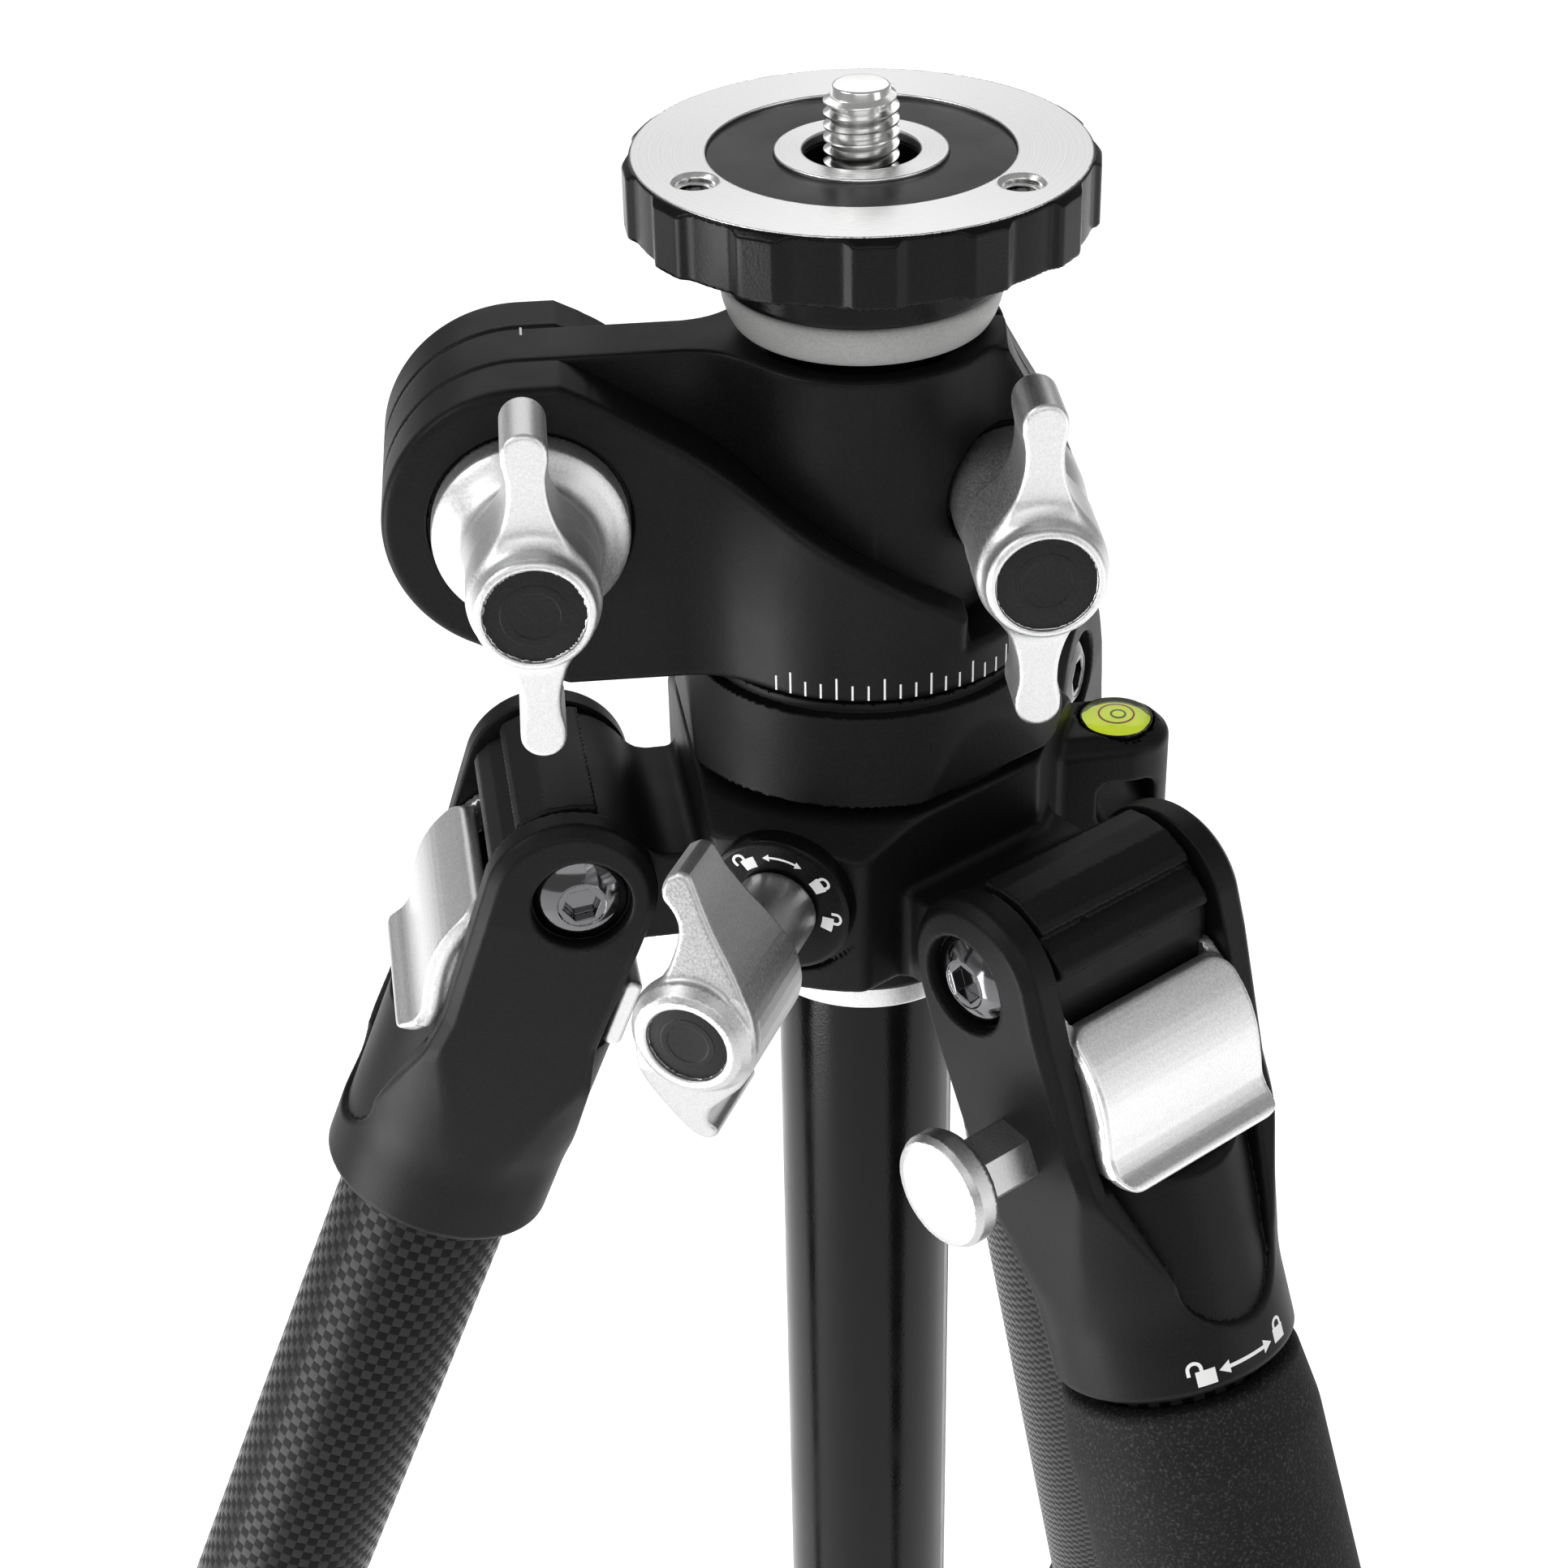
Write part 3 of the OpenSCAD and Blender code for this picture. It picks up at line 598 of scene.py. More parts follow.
def add_camera():
    data = bpy.data.cameras.new("camera")
    data.lens = LENS
    data.sensor_width = 36.0
    data.clip_start = 0.01
    camera = bpy.data.objects.new("camera", data)
    bpy.context.collection.objects.link(camera)
    camera.matrix_world = camera_matrix()
    bpy.context.scene.camera = camera


def add_softbox(name, at, aim, size, brightness):
    data = bpy.data.lights.new(name, "AREA")
    data.shape = "RECTANGLE"
    data.size, data.size_y = size
    data.energy = brightness * math.pi * size[0] * size[1]
    light = bpy.data.objects.new(name, data)
    bpy.context.collection.objects.link(light)
    light.location = at
    light.rotation_euler = (Vector(aim) - Vector(at)).to_track_quat("-Z", "Y").to_euler()


def light_studio():
    scene = bpy.context.scene
    scene.view_settings.view_transform = "Standard"
    scene.world = bpy.data.worlds.new("studio")
    scene.world.use_nodes = True
    background = scene.world.node_tree.nodes["Background"]
    background.inputs["Color"].default_value = (1, 1, 1, 1)
    background.inputs["Strength"].default_value = 0.28
    middle = (0, 0, -0.08)
    # Each panel's last number is its brightness, where 1 is as bright as white paper.
    add_softbox("back_panel", (-0.45, 1.1, 0.75), middle, (1.5, 0.9), 0.9)
    add_softbox("key", (-0.75, -0.6, 0.75), middle, (0.6, 0.6), 4.0)
    add_softbox("camera_panel", (0.3, -0.8, 0.5), middle, (0.9, 0.6), 1.3)
    add_softbox("right_strip", (0.85, -0.1, 0.1), middle, (0.3, 1.0), 1.6)
    # Upright walls seen from above mirror what stands low down in front of them.
    add_softbox("low_left_panel", (-0.45, -0.42, -0.32), middle, (0.36, 0.42), 6.5)


def add_floor():
    floor_half = 3.0
    corners = [(-floor_half, -floor_half), (floor_half, -floor_half),
               (floor_half, floor_half), (-floor_half, floor_half)]
    mesh = bpy.data.meshes.new("floor")
    mesh.from_pydata([(x, y, FLOOR_Z) for x, y in corners], [], [(0, 1, 2, 3)])
    floor = bpy.data.objects.new("floor", mesh)
    bpy.context.collection.objects.link(floor)
    nodes = Nodes("floor_paper", (0.6, 0.6, 0.6), 0.9)
    nodes.shader.inputs["Emission Color"].default_value = (1, 1, 1, 1)
    nodes.shader.inputs["Emission Strength"].default_value = 0.95
    mesh.materials.append(nodes.material)


# ---------------------------------------------------------------- printed marks
PRINT_LIFT = 0.04


def ribbon(points, half):
    """Quads of a line of constant width in a plane."""
    line = np.array(points, float)
    ahead = np.gradient(line, axis=0)
    side = np.stack([-ahead[:, 1], ahead[:, 0]], axis=1)
    side *= half / np.linalg.norm(side, axis=1, keepdims=True)
    left, right = line + side, line - side
    return [(right[i], right[i + 1], left[i + 1], left[i]) for i in range(len(line) - 1)]


def arc(centre, radius, start, end, steps=10):
    angles = np.radians(np.linspace(start, end, steps + 1))
    return [(centre[0] + radius * math.cos(a), centre[1] + radius * math.sin(a)) for a in angles]


def padlock(u, v, width, opened):
    """A padlock standing at (u, v); an opened one has its shackle swung to the left."""
    half, high = width / 2, width * 0.8
    body = ribbon([(x, v + high / 2) for x in np.linspace(u - half, u + half, 7)], high / 2)
    middle = u - half if opened else u
    bow = arc((middle, v + high + width * 0.15), width * 0.33, 0, 180)
    ends = [(middle + width * 0.33, v + high)], [(middle - width * 0.33, v + high * (0.8 if opened else 1.0))]
    return body + ribbon([*ends[0], *bow, *ends[1]], width * 0.09)


def double_arrow(low, high, v, half=0.15):
    """A line with a solid arrowhead at both ends."""
    head = 6 * half
    quads = ribbon([(u, v) for u in np.linspace(low + head, high - head, 9)], half)
    for tip, back in ((low, 1), (high, -1)):
        for rise in (-1, 1):
            corners = [(tip, v), (tip + back * head, v + rise * head * 0.6), (tip + back * head, v)]
            corners.append((tip + back * head / 2, v))
            quads.append(corners if back * rise < 0 else corners[::-1])
    return quads


def printed(quads, surface):
    """Thin solid patches on a surface that turns (u, v, lift) into a point."""
    faces = [(0, 3, 2, 1), (4, 5, 6, 7), (0, 1, 5, 4), (1, 2, 6, 5), (2, 3, 7, 6), (3, 0, 4, 7)]
    shapes = []
    for quad in quads:
        corners = [surface(u, v, lift) for lift in (-PRINT_LIFT, PRINT_LIFT) for u, v in quad]
        shapes.append((np.array(corners), faces))
    return merged(*shapes)


# ---------------------------------------------------------------- head
STUD_R = 4.7625
STUD_PITCH = 1.5875
STUD_TOP = 8.3
WELL_R = 7.4
WELL_FLOOR = -6.0
PLATE_R = 29.2
PLATE_T = 1.5
RECESS_R = (11.0, 19.5)
RECESS_FLOOR = -0.8
SCREW_RING = 23.0
SCREW_AZIMUTHS = (227.6, 347.6, 107.6)
SCREW_HOLE_R = 2.5
ANTI_TURN_AT = (14.4 * math.cos(math.radians(342)), 14.4 * math.sin(math.radians(342)))
WHEEL_R = 30.0
WHEEL_LOW = -9.0
GRIPS = 13
GRIP_AZIMUTH = 264.8
GRIP_ROOT_HALF = 3.9
GRIP_CREST_HALF = 2.5
WHEEL_POCKET_R = 27.6
HUB_R = 18.2
HUB_LOW = -16.8
COLUMN_R = 12.8


def screw_places():
    return [(SCREW_RING * math.cos(math.radians(a)), SCREW_RING * math.sin(math.radians(a)))
            for a in SCREW_AZIMUTHS]


def wheel_edge(x, y):
    """Distance to the wheel's outline: a drum with raised, flat-topped grips."""
    radius = np.hypot(x, y)
    step = 2 * math.pi / GRIPS
    angle = np.arctan2(y, x) - math.radians(GRIP_AZIMUTH)
    angle = angle - step * np.round(angle / step)
    out = radius * np.cos(angle) - WHEEL_R
    side = np.abs(radius * np.sin(angle)) - GRIP_CREST_HALF
    drop = WHEEL_R - math.sqrt(PLATE_R ** 2 - GRIP_ROOT_HALF ** 2)
    run = GRIP_ROOT_HALF - GRIP_CREST_HALF
    flank = (out * run + side * drop) / math.hypot(run, drop)
    return join(radius - PLATE_R, meet(out, flank, 0.35), 0.35)


def plate_field(x, y, z):
    body = meet(np.hypot(x, y) - PLATE_R + 0.2, between(z, -PLATE_T, 0), 0.2)
    ring = np.maximum(np.hypot(x, y) - RECESS_R[1], RECESS_R[0] - np.hypot(x, y))
    body = carve(body, np.maximum(ring, RECESS_FLOOR - z), 0.25)
    body = carve(body, np.hypot(x, y) - WELL_R, 0.4)
    for cx, cy in screw_places():
        body = carve(body, countersunk(x - cx, y - cy, z, SCREW_HOLE_R), 0.15)
    return carve(body, np.hypot(x - ANTI_TURN_AT[0], y - ANTI_TURN_AT[1]) - 2.6, 0.2)


def countersunk(x, y, z, radius):
    """A hole with a small bevel at the platform's face."""
    return np.hypot(x, y) - radius - np.clip(z + 0.55, 0, 0.6)


def wheel_field(x, y, z):
    radius = np.hypot(x, y)
    chamfer = (radius - PLATE_R + z + 0.12) * 0.7071
    body = meet(meet(wheel_edge(x, y), between(z, WHEEL_LOW, -0.12), 0.4), chamfer, 0.2)
    # Under the platform the wheel's top stands lower than the rim that its grips need.
    body = carve(body, np.maximum(radius - WHEEL_POCKET_R, -PLATE_T - 0.02 - z), 0.2)
    hub = meet(np.hypot(x, y) - HUB_R, between(z, HUB_LOW, -PLATE_T - 0.5), 0.6)
    body = join(body, hub, 0.8)
    body = carve(body, np.maximum(np.hypot(x, y) - WELL_R, WELL_FLOOR - z), 0.3)
    return carve(body, np.maximum(np.hypot(x, y) - COLUMN_R, z + 12), 0.3)


def add_head():
    low, high = (-WHEEL_R, -WHEEL_R, -PLATE_T), (WHEEL_R, WHEEL_R, 0)
    plate = moulded("platform", plate_field, low, high, 0.24, ROW, "column", PLATE,
                    ["head_plate"])
    low, high = (-WHEEL_R, -WHEEL_R, HUB_LOW), (WHEEL_R, WHEEL_R, 0)
    moulded("grip_wheel", wheel_field, low, high, 0.4, ROW, "column", MACHINED,
            ["head_wheel"])
    add_recess_floor()
    add_stud()
    add_lock_screws()
    bumper = [(COLUMN_R, HUB_LOW), (18.15, HUB_LOW), (18.2, -18.6), (17.5, -20.8), (16.6, -22.4), (COLUMN_R, -22.5)]
    turned_piece("bumper", bumper, ROW, "column", "grey_rubber", BUMPER, ["bumper_ring"], round_corners=1.0)
    return plate


def add_recess_floor():
    """The dark inlay that fills the platform's ring recess."""
    inner, outer = RECESS_R
    inlay = [(inner + 0.05, -PLATE_T + 0.1), (inner + 0.05, -0.55), (outer - 0.05, -0.55), (outer - 0.05, -PLATE_T + 0.1)]
    turned_piece("platform_inlay", inlay, ROW, "column", "black_anodised", MACHINED, round_corners=0.1)


def helix(radius, root, pitch, low, high, inside=False, segments=56):
    """A V thread as one wound strip of triangular section, tapering in at both ends."""
    turns = (high - low) / pitch
    steps = int(turns * segments)
    points, faces = [], []
    for i in range(steps + 1):
        angle = 2 * math.pi * i / segments
        z = low + pitch * i / segments
        fade = min(1.0, i / (segments / 3), (steps - i) / (segments / 3))
        crest = root + (radius - root) * fade
        half = 0.44 * pitch
        flat = 0.07 * pitch
        hidden = root + (0.4 if inside else -0.4)
        section = ((hidden, z - half), (crest, z - flat), (crest, z + flat), (hidden, z + half))
        points += [(r * math.cos(angle), r * math.sin(angle), h) for r, h in section]
    for i in range(steps):
        for k in range(4):
            a, b = 4 * i + k, 4 * i + (k + 1) % 4
            face = (a, a + 4, b + 4, b)
            faces.append(face[::-1] if inside else face)
    ends = [(0, 1, 2, 3), tuple(4 * steps + k for k in (3, 2, 1, 0))]
    faces += [end[::-1] for end in ends] if inside else ends
    return np.array(points), faces


def merged(*shapes):
    """Several (points, faces) shapes as one."""
    points, faces, count = [], [], 0
    for shape_points, shape_faces in shapes:
        points.append(np.asarray(shape_points))
        faces += [tuple(count + i for i in face) for face in shape_faces]
        count += len(shape_points)
    return np.concatenate(points), faces


def shifted(shape, offset):
    return shape[0] + np.array(offset), shape[1]


def add_stud():
    root = 3.85
    core = lathe([(0, -12), (root, -12), (root, 7.0), (3.6, STUD_TOP - 0.15), (3.3, STUD_TOP), (0, STUD_TOP)],
                 round_corners=0.2, closed=False, segments=64)
    thread = helix(STUD_R, root, STUD_PITCH, -9.0, 7.3)
    points, faces = merged(core, thread)
    add_piece("threaded_stud", mesh_of(points, faces, ROW), "column", STEEL, ["head_stud"])


def add_lock_screws():
    """Internal threads of the platform's three holes, with a screw's socket end low in each."""
    shapes = []
    for cx, cy in screw_places():
        sleeve = lathe([(SCREW_HOLE_R + 0.3, -8.9), (SCREW_HOLE_R - 0.02, -8.9),
                        (SCREW_HOLE_R - 0.02, -0.6), (SCREW_HOLE_R + 0.3, -0.6)], segments=40, round_corners=0.05)
        thread = helix(SCREW_HOLE_R - 0.45, SCREW_HOLE_R, 0.8, -8.0, -0.9, inside=True, segments=32)
        screw = lathe([(0, -8.5), (2.0, -8.5), (2.0, -3.4), (1.7, -3.0), (0, -3.0)], segments=32,
                      round_corners=0.1, closed=False)
        shapes += [shifted(shape, (cx, cy, 0)) for shape in (sleeve, thread, screw)]
    cx, cy = ANTI_TURN_AT
    shapes.append(shifted(lathe([(0, -6), (2.55, -6), (2.55, -2.6), (2.2, -2.2), (1.2, -2.2), (1.2, -3.4), (0, -3.4)],
                                segments=40, round_corners=0.1, closed=False), (cx, cy, 0)))
    points, faces = merged(*shapes)
    add_piece("screw_threads", mesh_of(points, faces, ROW), "column", STEEL, ["lock_screws"])


# ---------------------------------------------------------------- hinge arm, collar and pan body
HINGE = (44.3, -43.0)
CLAMP = (-18.4, -43.0)
EAR_R = 19.0
ARM_HALF = 5.0
PLATE_FACE = 14.3
PLATE_INNER = 5.3
SKIRT_R = 24.0
SKIRT_BORE_R = 18.3
SKIRT_FLOOR = -62.5
PAN_LOW = -67.0
COLLAR_R = 17.9
COLLAR_TOP = -24.0
CLAMP_HALF = 10.5
KNOB_SEAT_R = 13.2
CLAMP_EAR = [(-8, -24), (-17.5, -24), (-23, -34), (-26.5, -40), (-26.5, -50), (-22, -56), (-8, -57)]
ARM_SIDE = [(0, -24), (44.3, -24), (44.3, -62), (0, -60)]
PAN_SIDE = [(-25, -67), (40.8, -67), (53.4, -59.6), (44.3, -43), (44.3, -24), (39.5, -24),
            (36.2, -25.7), (-8.6, -54.8), (-11.4, -57), (-11.4, -60.7), (-25, -60.7)]


def collar_field(u, w, z):
    barrel = np.hypot(u, w) - COLLAR_R
    arm = np.maximum(np.abs(w) - ARM_HALF, -u)
    plan = join(barrel, arm, 7.0)
    side = np.minimum(np.hypot(u - HINGE[0], z - HINGE[1]) - EAR_R, polygon(u, z, ARM_SIDE))
    side = np.where(u < 0, between(z, -60, COLLAR_TOP), side)
    body = meet(plan, side, 0.7)
    ears = thick(polygon(u, z, CLAMP_EAR), np.abs(w) - CLAMP_HALF, 0.7)
    body = join(body, ears, 3.0)
    body = carve(body, np.hypot(u, w) - 14.6, 0.5)
    slit = np.maximum(np.abs(w) - 0.6, u + 10)
    body = carve(body, slit, 0.3)
    spot = np.maximum(np.hypot(u - CLAMP[0], z - CLAMP[1]) - 9.2, CLAMP_HALF - 0.4 - w)
    return carve(body, spot, 0.3)


def pan_field(u, w, z):
    side = np.minimum(np.hypot(u - HINGE[0], z - HINGE[1]) - EAR_R, polygon(u, z, PAN_SIDE))
    skirt = np.hypot(u, w) - SKIRT_R
    plates = np.maximum(np.abs(w) - PLATE_FACE, -u)
    body = meet(join(skirt, plates, 5.0), side, 1.5)
    body = meet(body, PAN_LOW - z, 0.5)
    body = carve(body, np.maximum(np.hypot(u, w) - SKIRT_BORE_R, SKIRT_FLOOR - z), 0.8)
    body = carve(body, np.maximum.reduce([np.abs(w) - PLATE_INNER, -u, SKIRT_FLOOR - z]), 0.5)
    seat = np.maximum(np.hypot(u - HINGE[0], z - HINGE[1]) - KNOB_SEAT_R, 13.1 - w)
    body = carve(body, seat, 0.5)
    return carve(body, np.hypot(u, w) - 13.2, 0.4)


def wing_half_width(reach):
    line = smooth_line(WING_WIDTHS)
    return np.interp(reach, line[:, 0], line[:, 1])


WING_WIDTHS = [(0, 7.4), (4, 6.5), (7, 4.9), (10, 3.5), (13, 2.65), (16, 2.45), (18.2, 2.8), (19.6, 2.9), (30, 2.9)]
WING_TIP = 19.6
WING_TIP_R = 2.9
WING_FRONT = 34.0
CAP_AT = 38.0
BOSS_R = 7.6
CAP_R = 6.4


def wing_outline(p, q):
    """Distance to a straight wing along q, widest at its middle, with round tips."""
    reach = np.abs(q)
    side = (np.abs(p) - wing_half_width(reach)) * 0.93
    tip = np.hypot(p, reach - WING_TIP) - WING_TIP_R
    return np.where(reach > WING_TIP, tip, side)


def wing_knob_field(centre, seat, back):
    """A clamp knob about an axis along w: a turned seat, a barrel, a wing and a ringed boss."""
    def field(u, w, z):
        p, q = u - centre[0], z - centre[1]
        r = np.hypot(p, q)
        barrel = polygon(r, w, seat)
        wing = thick(wing_outline(p, q), between(w, back, WING_FRONT), 0.7)
        body = join(barrel, wing, 3.2)
        boss = thick(r - BOSS_R, between(w, WING_FRONT - 6, CAP_AT), 0.9)
        body = join(body, boss, 1.6)
        return carve(body, np.maximum(r - CAP_R, CAP_AT - 0.55 - w), 0.25)
    return field


def seat_profile(points):
    """A closed profile of (radius, w) from the seat to inside the boss."""
    line = [tuple(p) for p in smooth_line(points)]
    return [(-1, points[0][1]), *line, (-1, points[-1][1])]


HINGE_SEAT = [(12.7, 13.4), (12.7, 15.2), (12.68, 16.9), (12.3, 17.6), (10.8, 18.9), (9.2, 20.6),
              (8.2, 22.8), (7.75, 25.5), (7.6, 29), (7.6, 34)]
CLAMP_SEAT = [(8.7, 10.8), (8.7, 13), (8.75, 15.5), (8.6, 18), (8.25, 21), (7.95, 24), (7.7, 27.5), (7.6, 34)]


def arm_matrix_box(centre, low, high, reach):
    return ((centre[0] - reach, low, centre[1] - reach), (centre[0] + reach, high, centre[1] + reach))


def add_knob_cap(name, place, centre, body, node):
    """Round insert of a wing knob: a flat disc with a raised ring, in place of any mark."""
    profile = [(0, CAP_AT - 0.95), (CAP_R - 0.03, CAP_AT - 0.95), (CAP_R - 0.03, CAP_AT - 0.5),
               (4.3, CAP_AT - 0.45), (4.2, CAP_AT - 0.38), (3.2, CAP_AT - 0.38), (3.1, CAP_AT - 0.45), (0, CAP_AT - 0.45)]
    matrix = place @ Matrix.Translation((centre[0], 0, centre[1])) @ Matrix.Rotation(math.radians(-90), 4, "X")
    turned_piece(name, profile, matrix, body, "insert_black", INSERT, [node], closed=False, round_corners=0.08,
                 segments=72)


def add_scale_ticks():
    """White degree marks above the skirt's lower rim, longer every fifteen degrees."""
    shapes = []
    for i in range(TICK_COUNT):
        angle = math.radians(TICK_START + 5 * i)
        top = PAN_LOW + (3.9 if i % 3 == 1 else 2.9)
        low, wide, deep = PAN_LOW + 0.75, 0.13, 0.05
        x, y = math.cos(angle), math.sin(angle)
        corners = []
        for r in (SKIRT_R - deep, SKIRT_R + 0.04):
            for side, z in ((-wide, low), (wide, low), (wide, top), (-wide, top)):
                corners.append((x * r - y * side, y * r + x * side, z))
        faces = [(0, 3, 2, 1), (4, 5, 6, 7), (0, 1, 5, 4), (1, 2, 6, 5), (2, 3, 7, 6), (3, 0, 4, 7)]
        shapes.append((np.array(corners), faces))
    points, faces = merged(*shapes)
    add_piece("angle_scale", mesh_of(points, faces, ARM), "pan_head", PRINT)


TICK_START = 55.0
TICK_COUNT = 22


def add_hinge():
    moulded("collar_and_arm", collar_field, (-27, -18, -62), (63.5, 18, -24), 0.5, ARM, "pan_head",
            CASTING, ["collar"])
    moulded("pan_housing", pan_field, (-25, -25, -67), (63.5, 25, -24), 0.5, ARM, "pan_head",
            CASTING, ["pan_body"])
    turned_piece("pan_spindle", [(13.2, -66.5), (16, -66.5), (16, -96), (13.2, -96)], ARM, "pan_head",
                 "black_casting", CASTING)
    add_scale_ticks()
    for name, centre, seat, back, body in (
            ("hinge_knob", HINGE, HINGE_SEAT, 22.8, "hinge_lever"),
            ("clamp_knob", CLAMP, CLAMP_SEAT, 24.4, "clamp_lever")):
        low, high = arm_matrix_box(centre, seat[0][1], CAP_AT, 22.6)
        moulded(name + "_wing", wing_knob_field(centre, seat_profile(seat), back), low, high, 0.34, ARM, body,
                SILVER, [name])
        add_knob_cap(name + "_insert", ARM, centre, body, name + "_cap")
    tick = (np.array([(x, y, z) for x in (43.85, 44.15) for y in (-4.9, -2.6) for z in (-24.05, -23.96)]),
            [(0, 1, 3, 2), (4, 6, 7, 5), (0, 2, 6, 4), (1, 5, 7, 3), (0, 4, 5, 1), (2, 3, 7, 6)])
    add_piece("arm_index_mark", mesh_of(*tick, ARM), "pan_head", PRINT)


# ---------------------------------------------------------------- base ring, spider and pan lock
FLAT_OUT = 25.2
RING_PROFILE = [(13.2, -67.4), (23.2, -67.4), (23.2, -68.6), (24.5, -68.9), (27.5, -80.8), (24, -80.8),
                (24, -82.5), (20.2, -82.5), (20.2, -100), (13.2, -100)]
SPIDER_R = 33.0
SPIDER_TOP = -82.5
SPIDER_LOW = -107.0
HUB_PROFILE = [(13.2, -81), (28, -81), (28, -107), (18, -107), (18, -118), (13.2, -118)]
SHOULDER_HALF = 14.3
BRACKET_HALF = 7.0
BRACKET_END = 37.0
BRACKET_FLAT_OUT = 26.5
VIAL_AT = 36.4
VIAL_R = 5.2
DIAL_R = 10.0
# Side outline of a shoulder's ratchet, about the leg hinge: X outwards, Z up.
RATCHET = [(-3, 0), (-3, 11.6), (0, 12), (3.4, 11.7), (6.9, 10.1), (7.6, 9.3), (6.8, 8.3), (9.4, 7.0), (11.1, 5.4),
           (11.5, 4.6), (10.2, 3.6), (10.9, 0.5), (11, -4), (8, -9), (0, -11), (-3, -11)]


def leg_flats(x, y):
    """Greatest distance past any of the three flats that face the legs."""
    past = [x * math.cos(math.radians(a)) + y * math.sin(math.radians(a)) - FLAT_OUT for a in SIDES.values()]
    return np.maximum.reduce(past)


def bracket_flats(x, y):
    """Greatest distance past the two flats beside the level's bracket."""
    beside = [along(x, y, BRACKET_AZIMUTH + turn)[0] - BRACKET_FLAT_OUT for turn in (-27, 27)]
    return np.where(along(x, y, BRACKET_AZIMUTH)[0] > 0, np.maximum(*beside), -99)


def ring_field(x, y, z):
    r = np.hypot(x, y)
    return meet(polygon(r, z, RING_PROFILE), leg_flats(x, y), 0.4)


def spider_field(x, y, z):
    r = np.hypot(x, y)
    chamfer = (r - SPIDER_R + (z - SPIDER_TOP + 3.5) * 1.57) / 1.86
    disc = meet(meet(r - SPIDER_R, between(z, SPIDER_LOW, SPIDER_TOP), 0.6), chamfer, 0.7)
    body = meet(meet(disc, leg_flats(x, y), 0.8), bracket_flats(x, y), 0.4)
    hub = thick(r - 18, between(z, -118, -100), 0.8)
    body = join(body, hub, 3.0)
    for azimuth in SIDES.values():
        body = join(body, shoulder_field(*along(x, y, azimuth), z), 1.8)
        body = np.minimum(body, ratchet_field(*along(x, y, azimuth), z))
    body = join(body, bracket_field(*along(x, y, BRACKET_AZIMUTH), z), 1.2)
    out, side = along(x, y, LOCK_AZIMUTH)
    dial_well = np.maximum(np.hypot(side, z - LOCK_Z) - DIAL_R - 1.3, 31.6 - out)
    body = carve(body, dial_well, 0.4)
    out, side = along(x, y, BRACKET_AZIMUTH)
    body = carve(body, thick(rectangle(out, z, (32.4, -101.5), (40.8, -94.5), 2.0), np.abs(side) - 20, 0.1), 0.8)
    body = carve(body, np.maximum(r - 24.6, -82.5 - z + 0.9), 0.3)
    return carve(body, r - 20.2 + 7 * (z < -100.5), 0.3)


def along(x, y, azimuth):
    """Distances out along an azimuth and to its left."""
    c, s = math.cos(math.radians(azimuth)), math.sin(math.radians(azimuth))
    return x * c + y * s, y * c - x * s


def shoulder_field(out, side, z):
    block = rectangle(out, z, (18, -107), (40, -93.5), 1.5)
    barrel = np.hypot(out - PIVOT_OUT, z - PIVOT_Z) - 10.9
    return thick(join(block, barrel, 3.0), np.abs(side) - SHOULDER_HALF, 0.5)


def ratchet_field(out, side, z):
    return thick(polygon(out - PIVOT_OUT, z - PIVOT_Z, RATCHET) - 0.3, np.abs(side) - 13.4, 0.4)


def bracket_field(out, side, z):
    plan = np.where(out > BRACKET_END, np.hypot(out - BRACKET_END, side), np.abs(side)) - BRACKET_HALF
    plan = np.maximum(plan, 22 - out)
    bevel = (plan + (z + 89.6)) * 0.7071
    body = meet(thick(plan, between(z, -105, -87.5), 0.6), bevel, 0.5)
    return carve(body, np.maximum(np.hypot(out - VIAL_AT, side) - VIAL_R - 0.25, -92.5 - z), 0.3)


def add_base():
    moulded("base_ring", ring_field, (-28, -28, -100), (28, 28, -67.4), 0.4, ROW, "spider",
            CASTING, ["pan_base_ring"])
    moulded("spider_casting", spider_field, (-56, -50, -118), (56, 56, -82.5), 0.55, ROW, "spider",
            CASTING, ["spider"])
    turned_piece("under_ring", [(13.3, -118), (16.5, -118), (16.5, -122), (13.3, -122)], ROW, "spider",
                 "satin_silver", SILVER, ["retaining_ring"], round_corners=0.5)
    add_level()
    add_pan_lock()


